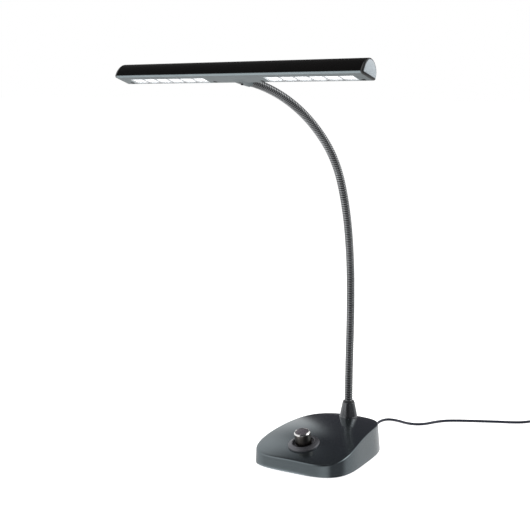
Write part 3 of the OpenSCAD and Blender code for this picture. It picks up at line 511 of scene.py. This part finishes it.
disc_metal = turned_metal("knob disc", (0.25, 0.23, 0.25), (0.22, 0.2, 0.22), (0.24, 0.32), knob_place,
                          0.3, 0.004)
knob_disc = lathe("knob_cap_disc",
                  rounded([(0, 13.2, 0), (6.5, 13.2, 0), (6.5, 13.6, 0.12), (6.2, 13.7, 0.15),
                           (0, 13.7, 0)], 0.15, 4), knob_place, disc_metal, 120)
for piece, slot in ((knob, "knob_chrome"), (chamfer, "knob_chrome"), (knob_disc, "cap_dark")):
    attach(piece, "knob")
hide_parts("dimmer_knob")
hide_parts("knob_cap")

# ============================================================ sleeve and ferrule
# Turned cone in black nickel with a flared foot, which hides the plated steel ferrule, its
# washer and its nut, and the dark collar that closes it round the gooseneck.
sleeve_gloss = finish_of("sleeve black nickel", (0.14, 0.145, 0.152), (0.115, 0.12, 0.127), (0.16, 0.22),
                         900, 0.01, metallic=0.9, coat=0.3, coat_rough=0.08)
sleeve = lathe("neck_sleeve_turned", rounded([
    (7.35, 0, 0), (9.2, 0, 0.1), (9.2, 1.3, 0.35), (8.9, 1.9, 0.4), (8.5, 4.4, 1.6), (6.15, 16.1, 0.4),
    (4.22, 16.1, 0), (4.22, 12.1, 0), (5.9, 8.4, 0), (5.9, 7, 0), (7.35, 2.6, 0)], 0.3, 6), neck_place,
    sleeve_gloss, 120, 45)
collar = lathe("sleeve_collar_turned",
               rounded([(4.2, 16.1, 0), (5.8, 16.1, 0.1), (5.7, 17.1, 0.5), (5.1, 17.7, 0.4),
                        (4.2, 17.7, 0)], 0.2, 4), neck_place,
               finish_of("collar black", (0.014, 0.014, 0.016), (0.02, 0.02, 0.022), (0.3, 0.4), 1500,
                         0.02), 96)
for piece, node, slot in ((sleeve, "neck_sleeve", "sleeve_black"),
                          (collar, "sleeve_collar", "black_plastic")):
    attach(piece, "base")
    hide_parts(node)
for node in ("neck_ferrule", "neck_washer", "neck_nut"):
    dress(node, plated)

# ==================================================================== cord gland
# Rubber bend relief in the back wall: a flange against the shell and a tapered tail with six
# ribs, moulded in one and pushed in from outside.
gland_profile = [(0, -3.8, 0), (3.7, -3.8, 0.2), (3.7, -2.6, 0.2), (2.95, -2.6, 0.1), (2.95, 0, 0),
                 (4.3, 0, 0.1), (4.3, 1.05, 0.3), (3.7, 1.5, 0.3)]
for k in range(6):
    z, r = 2.4 + 2.0 * k, 3.1 - 0.2 * k
    gland_profile += [(r, z, 0.1), (r - 0.45, z + 0.3, 0.1), (r - 0.5, z + 0.8, 0.1),
                      (r - 0.08, z + 1.1, 0.1)]
gland_profile += [(1.8, gland_l, 0.2), (0, gland_l, 0)]
gland = lathe("cord_gland_moulded", rounded(gland_profile, 0.15, 3), gland_place, pad_rubber, 48)
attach(gland, "base")
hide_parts("cord_gland")

# ===================================================================== gooseneck
# Wound steel tube with close ribs in black nickel, with painted shade in the grooves. It rises
# from the ferrule, curves forward and ends in the light bar. Each length is made in its place.
neck_arcs = [(18, 0), (60, -2), (60, 3.5), (50, 6.5), (50, 10.5), (50, 24), (50, 15.5), (70, 20), (17, 0)]
neck_length = 425
arm_turn = Matrix.Translation((0, neck_y, 0)) @ Matrix.Rotation(math.radians(-9.2), 4, "Z")


def neck_at(s):
    """Forward, height and heading of the gooseneck's middle line at length s, in the arm's plane."""
    x, z, heading = 0.0, seat_z + 1.75, 0.0
    for length, bend in neck_arcs:
        run = min(s, length)
        to = heading + math.radians(bend) * run / length
        if abs(to - heading) < 1e-9:
            x += run * math.sin(heading)
            z += run * math.cos(heading)
        else:
            k = (to - heading) / run
            x += (math.cos(heading) - math.cos(to)) / k
            z += (math.sin(to) - math.sin(heading)) / k
        heading, s = to, s - run
        if s <= 0:
            break
    return x, z, heading


def neck_point(s, radius=0.0, angle=0.0):
    x, z, heading = neck_at(s)
    return arm_turn @ Vector((radius * math.cos(angle),
                              -x + radius * math.sin(angle) * math.cos(heading),
                              z + radius * math.sin(angle) * math.sin(heading)))


rib_pitch, rib_steps, neck_sides = 2.43, 10, 28
groove_r, rib_h, painted_shade_share = 3.25, 0.85, 0.35
blend_half = 16  # half a length round each joint; the points made with it are not used
neck_black = finish_of("gooseneck black nickel", (0.25, 0.258, 0.265), (0.2, 0.206, 0.212), (0.16, 0.22),
                       1400, 0.02, metallic=0.9)
# Painted shade: a near black material on the faces by the grooves, where the ribs shade each other.
groove_painted_shade = finish_of("gooseneck groove painted shade", (0.006, 0.006, 0.007), (0.01, 0.01, 0.011), (0.55, 0.7), 1400,
                        0.02)


def rib_radius(s, angle):
    """Radius of the wound ribs: rounded crests, narrow grooves, one turn of helix for each pitch."""
    t = (s / rib_pitch + angle / (2 * math.pi)) % 1
    return groove_r + rib_h * (1 - (2 * t - 1) ** 2) ** 0.5


def gooseneck_length(name, s0, s1):
    count = round((s1 - s0) / rib_pitch * rib_steps)
    lengths = [s0 + (s1 - s0) * i / count for i in range(count + 1)]
    angles = [2 * math.pi * k / neck_sides for k in range(neck_sides)]
    rings = [[neck_point(s, rib_radius(s, a), a) for a in angles] for s in lengths]
    tube = loft(name, rings, neck_black, sharp=70)
    tube.data.materials.append(groove_painted_shade)
    for face in tube.data.polygons[:count * neck_sides]:
        i, k = divmod(face.index, neck_sides)
        turn_share = ((lengths[i] + lengths[i + 1]) / 2 / rib_pitch + (k + 0.5) / neck_sides) % 1
        # Faces near the bottom of each groove get the painted shade material.
        face.material_index = int(abs(turn_share - 0.5) > painted_shade_share)
    return tube


neck_cuts = [0.3, 89, 182, 275, 350, neck_length]
neck_joins = [("base", "neck_low", 48), ("neck_low", "neck_middle", 130),
              ("neck_middle", "neck_high", 235), ("neck_high", "neck_top", 315),
              ("neck_top", "light_bar", 386)]
neck_nodes = [("gooseneck_foot", "gooseneck_low"), ("gooseneck_middle",), ("gooseneck_high",),
              ("gooseneck_top",), ("gooseneck_end",)]
for i, (lower, upper, s) in enumerate(neck_joins):
    piece = gooseneck_length("gooseneck_ribs_%d" % (i + 1), neck_cuts[i], neck_cuts[i + 1])
    neck_point(s - blend_half) * mm
    neck_point(s + blend_half) * mm
    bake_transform(piece)
    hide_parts(*neck_nodes[i])

# ===================================================================== bar cover
# Grey moulded frame that closes the bar from below: two windows, a chamfered front edge, four
# screw recesses, and the snout that slopes down to grip the gooseneck.
bar_l, bar_w, bar_h, shell_l = 300, 19.2, 14.6, 296
cover_t, cover_low = 0.3, -1.3  # heights of the cover's top and underside
bar_side = bar_w / 2
socket = Vector((0, 6.6, 1.6))
end_x, end_z, end_heading = neck_at(neck_length)
bar_tilt = math.radians(90 + 9) - end_heading
bar_place = (arm_turn @ Matrix.Translation((0, -end_x, end_z)) @ Matrix.Rotation(-bar_tilt, 4, "X")
             @ Matrix.Rotation(math.radians(-0.9), 4, "Y") @ Matrix.Translation(-socket))
socket_place = (Matrix.Translation(socket) @ Matrix.Rotation(math.radians(0.9), 4, "Y")
                @ Matrix.Rotation(math.radians(9 - 90), 4, "X"))


def on_bar(points):
    return [bar_place @ Vector(p) for p in points]


def bar_box(low, high):
    """Cutter or plate with its corners given in the bar's own frame."""
    return [[(low[0], low[1], z), (high[0], low[1], z), (high[0], high[1], z), (low[0], high[1], z)]
            for z in (low[2], high[2])]


def along_bar(name, outline, x0, x1, material, sharp=35):
    """Bar of that outline, (y, z) in the bar's own frame, from x0 to x1."""
    return loft(name, [on_bar([(x, y, z) for y, z in outline]) for x in (x0, x1)], material, sharp=sharp)


def superellipse(half_w, half_h, power, steps=64):
    out = []
    for k in range(steps):
        a = 2 * math.pi * k / steps
        c, s = math.cos(a), math.sin(a)
        rho = (abs(c) ** power + abs(s) ** power) ** (-1 / power)
        out.append((half_w * rho * c, half_h * rho * s))
    return out


cover_grey = finish_of("cover satin gunmetal", (0.17, 0.2, 0.21), (0.155, 0.183, 0.193), (0.33, 0.39),
                       2600, 0.012, mottle=60, metallic=0.92)
cover_outline = rounded([(-8.3, cover_low), (8.8, cover_low), (bar_side, cover_low + 0.8),
                         (bar_side, cover_t, 0), (-bar_side, cover_t, 0),
                         (-bar_side, cover_low + 1.4)], 0.25, 4)
cover = along_bar("bar_cover_moulded", cover_outline, -shell_l / 2, shell_l / 2, cover_grey)
window_start, window_l = 36.5, 99
window_front, window_back = -2.6, 7.6
cutters = []
for side in (-1, 1):
    x = side * (window_start + window_l / 2)
    cutters.append(loft("cutter", [on_bar(ring) for ring in bar_box(
        (x - window_l / 2, window_front, -3), (x + window_l / 2, window_back, 4))], cover_grey))
screw_row, middle_screw, end_screw = 6.3, 29, bar_l / 2 - 9.5
screw_places = [(side * x, screw_row) for side in (-1, 1) for x in (middle_screw, end_screw)]
for x, y in screw_places:
    hole = bar_place @ Matrix.Translation((x, y, cover_low))
    cutters.append(lathe("cutter", [(0, -1), (2.05, -1), (2.05, 0.8), (1.25, 0.8), (1.25, 3), (0, 3)],
                         hole, cover_grey, 40))
cut(cover, cutters)

snout_steps = 26
snout_rings = []
for k in range(snout_steps + 1):
    t = k / snout_steps
    s = t * t * (3 - 2 * t)
    middle = socket_place @ Vector((0, 0, -7.5 + 21 * t))
    half_w = 11 * (1 - s) + 4.8 * s
    low, high = cover_low + 0.1, cover_low + 1.3
    low, high = low + (middle.z - 4.8 - low) * s, high + (middle.z + 4.8 - high) * s
    lean_back = Vector((0, -math.sin(math.radians(9)) * s, 1)).normalized()
    ring = [Vector((px, middle.y, (low + high) / 2)) + lean_back * pz
            for px, pz in superellipse(half_w, (high - low) / 2, 3 - s)]
    snout_rings.append(ring)
for grow in (0.4, 0.9):
    snout_rings.append([snout_rings[snout_steps][k].lerp(socket_place @ Vector((0, 0, 13.6)), grow * 0.2)
                        + (socket_place.to_3x3() @ Vector((0, 0, 0.25 * grow))) for k in range(64)])
snout = loft("bar_snout_moulded", [on_bar(ring) for ring in snout_rings], cover_grey, sharp=50)
bore = lathe("cutter", [(0, 0), (4.15, 0), (4.15, 40), (0, 40)], bar_place @ socket_place, cover_grey, 64)
cut(snout, [bore])
for piece in (cover, snout):
    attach(piece, "light_bar")
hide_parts("bar_cover")

# ===================================================================== bar shell
# Extruded half-round with a deep black, dull anodised skin, hollow, with a notch where the
# gooseneck comes in. It carries the LED boards and spreads their heat.


def half_round(inset, low, steps=72):
    outline = [(-(bar_side - inset), low), (bar_side - inset, low)]
    for k in range(1, steps):
        a = math.pi * k / steps
        outline.append(((bar_side - inset) * math.cos(a),
                        cover_t + (bar_h - cover_t - inset) * math.sin(a)))
    return outline


bar_black = finish_of("bar satin black", (0.003, 0.003, 0.003), (0.0045, 0.004, 0.004), (0.4, 0.46), 500,
                      0.006, mottle=12)
bar_black.node_tree.nodes["Principled BSDF"].inputs["Specular IOR Level"].default_value = 0.015
bar_shell = along_bar("bar_shell_extruded", half_round(0, cover_t), -shell_l / 2, shell_l / 2, bar_black)
inside = along_bar("cutter", half_round(1.4, cover_t - 1), -shell_l / 2 - 2, shell_l / 2 + 2, bar_black)
notch = loft("cutter", [on_bar([socket_place @ Vector((5.6 * math.cos(math.pi * k / 32),
                                                       5.6 * math.sin(math.pi * k / 32), z))
                                for k in range(64)]) for z in (0, 30)], bar_black)
cut(bar_shell, [inside, notch])
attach(bar_shell, "light_bar")
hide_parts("bar_shell")

# ============================================================ end plugs and plates
# Black end plugs close the bar, each with a spigot in the shell and a face rounded in plan. A
# pale plate, a little domed, is let into each.
plug_black = finish_of("plug black", (0.012, 0.012, 0.013), (0.017, 0.017, 0.018), (0.28, 0.36), 1500,
                       0.012)
plate_pale = finish_of("plate pale grey", (0.4, 0.44, 0.47), (0.37, 0.41, 0.44), (0.32, 0.42), 2200, 0.01,
                       mottle=80)


def dome(y, z):
    """How far the end of the bar stands out at y, z: rounded in plan, most at the underside."""
    up = z - cover_low
    return 0.9 + 1.3 * (1 - (y / bar_side) ** 2) * (1 - up / 17) - 1.8 * (up / 15.9) ** 2


for side, end in ((-1, "left"), (1, "right")):
    rim = half_round(0, cover_t)
    lower = [(-bar_side, cover_t), (-bar_side, cover_low + 1.4), (-8.3, cover_low), (8.8, cover_low),
             (bar_side, cover_low + 0.8), (bar_side, cover_t)]
    outline = rounded([p for p in lower] + [p for p in rim[2:]], 0.2, 2)
    rings = [on_bar([(side * (148 + out + dome(y, z) * min(out, 1.5) / 1.5), y * (1 - inset / bar_side),
                      6.5 + (z - 6.5) * (1 - inset / 7)) for y, z in outline])
             for out, inset in ((0, 0), (0.5, 0.03), (1.0, 0.2), (1.3, 0.5), (1.5, 1.1))]
    plug = loft("end_plug_cap_" + end, rings, plug_black, sharp=40)
    plate_pocket = loft("cutter",
                        [on_bar([(side * (x + dome(y, z)), y, z) for y, z in half_round(1.2, 0.1)])
                         for x in (148.9, 151)], plug_black)
    hole = lathe("cutter", [(0, -1), (1.15, -1), (1.15, 3), (0, 3)],
                 bar_place @ Matrix.Translation((side * end_screw, screw_row, 0)), plug_black, 24)
    spigot = along_bar("end_plug_spigot_" + end, half_round(1.55, cover_t), side * 147.5, side * 139.2,
                       plug_black)
    cut(plug, [plate_pocket])
    cut(spigot, [hole])
    plate_rings = []
    for out, share in ((-1.1, 1.0), (-0.55, 1.0), (-0.4, 0.97), (-0.34, 0.9), (-0.3, 0.75), (-0.3, 0.5),
                       (-0.3, 0.25)):
        plate_rings.append(on_bar([(side * (150 + out + dome(y * share, 5.6 + (z - 5.6) * share)),
                                    y * share, 5.6 + (z - 5.6) * share)
                                   for y, z in half_round(1.25, 0.15)]))
    plate = loft("end_plate_domed_" + end, plate_rings, plate_pale, sharp=40)
    for piece in (plug, spigot, plate):
        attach(piece, "light_bar")
    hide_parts("end_plug_" + end)
    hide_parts("end_plate_" + end)

# ================================================== windows, reflectors and LEDs
# Clear panes in the windows with grey tabs between the cells, white moulded trays with one cell
# for each LED, the LEDs with their domes, and the white boards. The lamp is lit: the LED domes
# emit, and the trays and panes carry a painted glow. The bracket in the middle is plated.
pane_clear = bpy.data.materials.new("pane clear painted glow")
pane_clear.use_nodes = True
pane_shader = pane_clear.node_tree.nodes["Principled BSDF"]
pane_shader.inputs["Base Color"].default_value = (0.95, 0.97, 1.0, 1)
pane_shader.inputs["Roughness"].default_value = 0.08
pane_shader.inputs["IOR"].default_value = 1.49
pane_shader.inputs["Alpha"].default_value = 0.25
# The pane's emission is a painted glow: it stands for the LED light that passes through it.
pane_shader.inputs["Emission Color"].default_value = (1, 1, 1, 1)
pane_shader.inputs["Emission Strength"].default_value = 0.4


def glowing(name, colour, strength, rough):
    material = finish_of(name, colour, tuple(0.94 * c for c in colour), rough, 1200, 0.02, mottle=120)
    nodes, links = material.node_tree.nodes, material.node_tree.links
    links.new(nodes["Group"].outputs["Colour"], nodes["Principled BSDF"].inputs["Emission Color"])
    nodes["Principled BSDF"].inputs["Emission Strength"].default_value = strength
    return material


def ring_faces(base, rows, n):
    """Faces between rows + 1 rings of n points each, and the lids on the last and the first."""
    sides = [[base + r * n + k, base + r * n + (k + 1) % n, base + (r + 1) * n + (k + 1) % n,
              base + (r + 1) * n + k] for r in range(rows) for k in range(n)]
    return sides + [[base + rows * n + k for k in range(n)], [base + k for k in range(n)]]


# The trays' emission is a painted glow: it stands for the LED light that the white cells bounce.
tray_painted_glow = glowing("reflector white painted glow", (0.86, 0.87, 0.88), 0.45, (0.2, 0.3))
led_glow = glowing("led lens", (1.0, 0.98, 0.94), 2.0, (0.15, 0.2))
divider_grey = finish_of("divider grey", (0.36, 0.37, 0.38), (0.3, 0.31, 0.32), (0.4, 0.5), 1200, 0.02)
board_white = finish_of("board white", (0.8, 0.81, 0.81), (0.74, 0.75, 0.75), (0.35, 0.45), 900, 0.02)
cells, cell_l, tray_front, tray_back, tray_low, tray_top = 6, 16.5, -2.55, 7.55, -0.1, 6.4
for side, end in ((-1, "left"), (1, "right")):
    x0 = window_start if side > 0 else -window_start - window_l
    pane = loft("pane_" + end, [on_bar(ring) for ring in bar_box(
        (x0 + 0.1, window_front + 0.1, cover_low + 0.05),
        (x0 + window_l - 0.1, window_back - 0.1, cover_low + 1.15))], pane_clear)
    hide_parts("window_" + end)
    points, faces = [], []
    cell_y = (tray_front + tray_back) / 2
    for i in range(cells):
        x = x0 + (i + 0.5) * cell_l
        rings = []
        for t in (0, 0.15, 0.35, 0.6, 0.85, 1.0):
            flare = 1 - 0.62 * t ** 1.8
            rings.append([(x + px, cell_y + py, tray_low + (tray_top - 0.6 - tray_low) * t)
                          for px, py in superellipse(7.7 * flare, 4.9 * (1 - 0.3 * t ** 1.8), 5 - 2.4 * t,
                                                     32)])
        outer = [[(x + px, cell_y + py, z) for px, py in superellipse(8.24, 5.05, 30, 32)]
                 for z in (tray_low, tray_top)]
        base = len(points)
        for ring in [outer[1], outer[0]] + rings:
            points += on_bar(ring)
        faces += ring_faces(base, len(rings) + 1, 32)
    tray = new_piece("reflector_cells_" + end, points, faces, tray_painted_glow, 40)
    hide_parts("reflector_" + end)
    points, faces = [], []
    for i in range(cells):
        x = x0 + (i + 0.5) * cell_l
        base = len(points)
        for z, w in ((tray_top - 0.4, 2.6), (tray_top - 1.2, 2.6), (tray_top - 1.25, 2.2),
                     (tray_top - 2.0, 1.9), (tray_top - 2.5, 1.3), (tray_top - 2.7, 0.5)):
            power = 6 if w > 2.3 else 2  # square foot, round dome
            points += on_bar([(x + px, cell_y + py, z) for px, py in superellipse(w, w, power, 24)])
        faces += ring_faces(base, 5, 24)
    lenses = new_piece("led_lenses_" + end, points, faces, led_glow, 40)
    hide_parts("leds_" + end)
    points, faces = [], []
    for i in range(1, cells):
        x = x0 + i * cell_l
        for low, high in (((x - 0.35, -2.5, cover_low + 0.3), (x + 0.35, 7.5, tray_low - 0.02)),
                          ((x - 1.3, 6.2, cover_low - 0.04), (x + 1.3, 7.7, cover_low + 0.5))):
            base = len(points)
            for ring in bar_box(low, high):
                points += on_bar(ring)
            faces += [[base, base + 1, base + 2, base + 3], [base + 4, base + 5, base + 6, base + 7]]
            faces += [[base + k, base + (k + 1) % 4, base + 4 + (k + 1) % 4, base + 4 + k]
                      for k in range(4)]
    dividers = new_piece("pane_tabs_" + end, points, faces, divider_grey, 30)
    for piece, slot in ((pane, "pane_clear"), (tray, "reflector_white"), (lenses, "led_yellow"),
                        (dividers, "cover_grey")):
        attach(piece, "light_bar")
    dress("led_board_" + end, board_white)
dress("bar_bracket", plated)

# ================================================================== cover screws
# Small black pan-head screws with a cross recess: four sunk in the cover, and one in the snout
# that grips the gooseneck.
screw_black = finish_of("screw black", (0.02, 0.02, 0.022), (0.03, 0.03, 0.033), (0.3, 0.42), 2000, 0.01,
                        metallic=0.8)
heads = []
for x, y in screw_places:
    place = bar_place @ Matrix.Translation((x, y, cover_low))
    head = lathe("cover_screw_%d" % (len(heads) + 1),
                 rounded([(0, -0.02, 0), (1.2, 0.02, 0.2), (1.9, 0.3, 0.3), (1.9, 0.8, 0), (1.1, 0.8, 0),
                          (1.1, 3, 0.1), (0, 3, 0)], 0.2, 3), place, screw_black, 40)
    slots = [loft("cutter", [[place @ (Matrix.Rotation(a, 4, "Z") @ Vector(p)) for p in ring]
                             for ring in bar_box((-1.1, -0.2, -1), (1.1, 0.2, 0.55))], screw_black)
             for a in (0.5, 0.5 + math.pi / 2)]
    cut(head, slots)
    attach(head, "light_bar")
    heads.append(head)
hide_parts("cover_screws")
dress("snout_screw", screw_black)

# ============================================================== floor and backdrop
# Plain pale studio floor. To the camera it is as bright as the white surround, and it darkens
# only where the lamp shades it. Reflections show the surround in its place.
bpy.ops.mesh.primitive_plane_add(size=30, location=(0, 0, 0))
floor = bpy.context.object
floor.name = "floor"
floor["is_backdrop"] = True
floor_white = bpy.data.materials.new("floor white")
floor_white.use_nodes = True
nodes, links = floor_white.node_tree.nodes, floor_white.node_tree.links
nodes["Principled BSDF"].inputs["Base Color"].default_value = (0.8, 0.8, 0.8, 1)
nodes["Principled BSDF"].inputs["Roughness"].default_value = 0.9
nodes["Principled BSDF"].inputs["Specular IOR Level"].default_value = 0.0
rays = nodes.new("ShaderNodeLightPath")
links.new(rays.outputs["Is Camera Ray"], nodes["Principled BSDF"].inputs["Emission Strength"])
nodes["Principled BSDF"].inputs["Emission Color"].default_value = (0.74, 0.74, 0.74, 1)
floor.data.materials.append(floor_white)
floor.visible_glossy = False

# ============================================================= lamps and surround
# The surround is white to the camera. In reflections it is a studio with a white wall on the
# left, another on the right, and dark gaps behind the camera and behind the lamp. Three soft
# boxes light the lamp.
world = bpy.data.worlds.new("surround")
bpy.context.scene.world = world
world.use_nodes = True
nodes, links = world.node_tree.nodes, world.node_tree.links


def sweep(value, low, high, to_low=0.0, to_high=1.0):
    """Smooth step of value between low and high."""
    step = nodes.new("ShaderNodeMapRange")
    step.interpolation_type = "SMOOTHSTEP"
    for socket, number in (("From Min", low), ("From Max", high), ("To Min", to_low),
                           ("To Max", to_high)):
        step.inputs[socket].default_value = number
    links.new(value, step.inputs["Value"])
    return step.outputs["Result"]


def product(a, b):
    times = nodes.new("ShaderNodeMath")
    times.operation = "MULTIPLY"
    links.new(a, times.inputs[0])
    links.new(b, times.inputs[1])
    return times.outputs["Value"]


def wall(below, colour, middle, half, soft, top, fade, foot=-100):
    """Bright or dark wall in reflections, in degrees: its middle and half width round the lamp,
    the softness of its sides, its top, the softness of top and foot, and its foot."""
    turned, parts, turn_of, size = (nodes.new("ShaderNode" + kind) for kind in (
        "Mapping", "SeparateXYZ", "Math", "Math"))
    turned.inputs["Rotation"].default_value = (0, 0, -math.radians(middle))
    turn_of.operation, size.operation = "ARCTAN2", "ABSOLUTE"
    links.new(direction, turned.inputs["Vector"])
    links.new(turned.outputs["Vector"], parts.inputs["Vector"])
    links.new(parts.outputs["Y"], turn_of.inputs[0])
    links.new(parts.outputs["X"], turn_of.inputs[1])
    links.new(turn_of.outputs["Value"], size.inputs[0])
    across = sweep(size.outputs["Value"], math.radians(half - soft), math.radians(half + soft), 1, 0)
    upward = sweep(parts.outputs["Z"], math.sin(math.radians(top - fade)),
                   math.sin(math.radians(top + fade)), 1, 0)
    shape = product(across, upward)
    if foot > -90:
        shape = product(shape, sweep(parts.outputs["Z"], math.sin(math.radians(foot - fade)),
                                     math.sin(math.radians(foot + fade))))
    mixed = nodes.new("ShaderNodeMix")
    mixed.data_type = "RGBA"
    mixed.inputs["B"].default_value = (*colour, 1)
    links.new(shape, mixed.inputs["Factor"])
    if isinstance(below, tuple):
        mixed.inputs["A"].default_value = (*below, 1)
    else:
        links.new(below, mixed.inputs["A"])
    return mixed.outputs["Result"]


direction = nodes.new("ShaderNodeTexCoord").outputs["Generated"]
studio = (0.05, 0.05, 0.055)
for patch in [
        ((0.06, 0.057, 0.07), 100, 40, 8, 60, 15),  # dark behind the lamp, seen in the base's top
        ((1.1, 1.1, 1.1), 149, 25, 1, 30, 9),  # left wall, far end, with a sharp edge
        ((1.1, 1.1, 1.1), 153, 20, 5, 45, 8),  # the same, softer above
        ((1.05, 1.05, 1.05), 212, 46, 4, 62, 6),  # left wall
        ((1.1, 1.1, 1.1), 40, 48, 6, 54, 6),  # right wall
        ((4.0, 4.0, 3.9), 30, 14, 3, 50, 4, 16),  # bright strip on it, for the ribs and the knob
        ((0.85, 0.85, 0.85), 0, 400, 5, -3, 3),  # floor, all round
        ((0.62, 0.62, 0.62), 239, 34, 10, 6, 3, -20),  # floor on the left, seen in the base's front
        ((0.72, 0.72, 0.72), 50, 40, 10, 6, 3, -20),  # floor on the right, seen in its side
        ((0.17, 0.17, 0.18), -8, 40, 15, 20, 3, -45),  # dark in front, seen in its corner
        ((2.3, 2.3, 2.3), 209, 34, 6, -22, 5)]:  # bright floor, seen in the bar's front chamfer
    studio = wall(studio, *patch)

rays, seen, picked = (nodes.new("ShaderNode" + kind) for kind in ("LightPath", "Math", "Mix"))
links.new(rays.outputs["Is Camera Ray"], seen.inputs[0])
links.new(rays.outputs["Is Glossy Ray"], seen.inputs[1])
picked.data_type = "RGBA"
picked.inputs["A"].default_value = (1, 1, 1, 1)
links.new(rays.outputs["Is Glossy Ray"], picked.inputs["Factor"])
links.new(studio, picked.inputs["B"])
links.new(picked.outputs["Result"], nodes["Background"].inputs["Color"])
either = nodes.new("ShaderNodeMath")
either.use_clamp = True
links.new(seen.outputs["Value"], either.inputs[0])
links.new(rays.outputs["Is Transmission Ray"], either.inputs[1])
links.new(sweep(either.outputs["Value"], 0, 1, 0.35, 1.0), nodes["Background"].inputs["Strength"])


def soft_box(name, place, aim, width, height, power):
    light = bpy.data.lights.new(name, "AREA")
    light.shape, light.size, light.size_y, light.energy = "RECTANGLE", width, height, power
    lamp = bpy.data.objects.new(name, light)
    lamp.location = place
    lamp.rotation_euler = (Vector(aim) - Vector(place)).to_track_quat("-Z", "Y").to_euler()
    lamp.visible_glossy = False
    bpy.context.scene.collection.objects.link(lamp)


soft_box("soft box left", (-1.5, -1.3, 0.8), (0, 0, 0.15), 1.0, 1.4, 30)
soft_box("soft box right", (1.7, 0.7, 0.8), (0, 0, 0.15), 1.0, 1.4, 28)
soft_box("soft box top", (0.1, 0.0, 2.0), (0, 0, 0), 1.2, 1.2, 10)

bpy.context.scene.view_settings.view_transform = "Standard"
low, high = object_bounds()
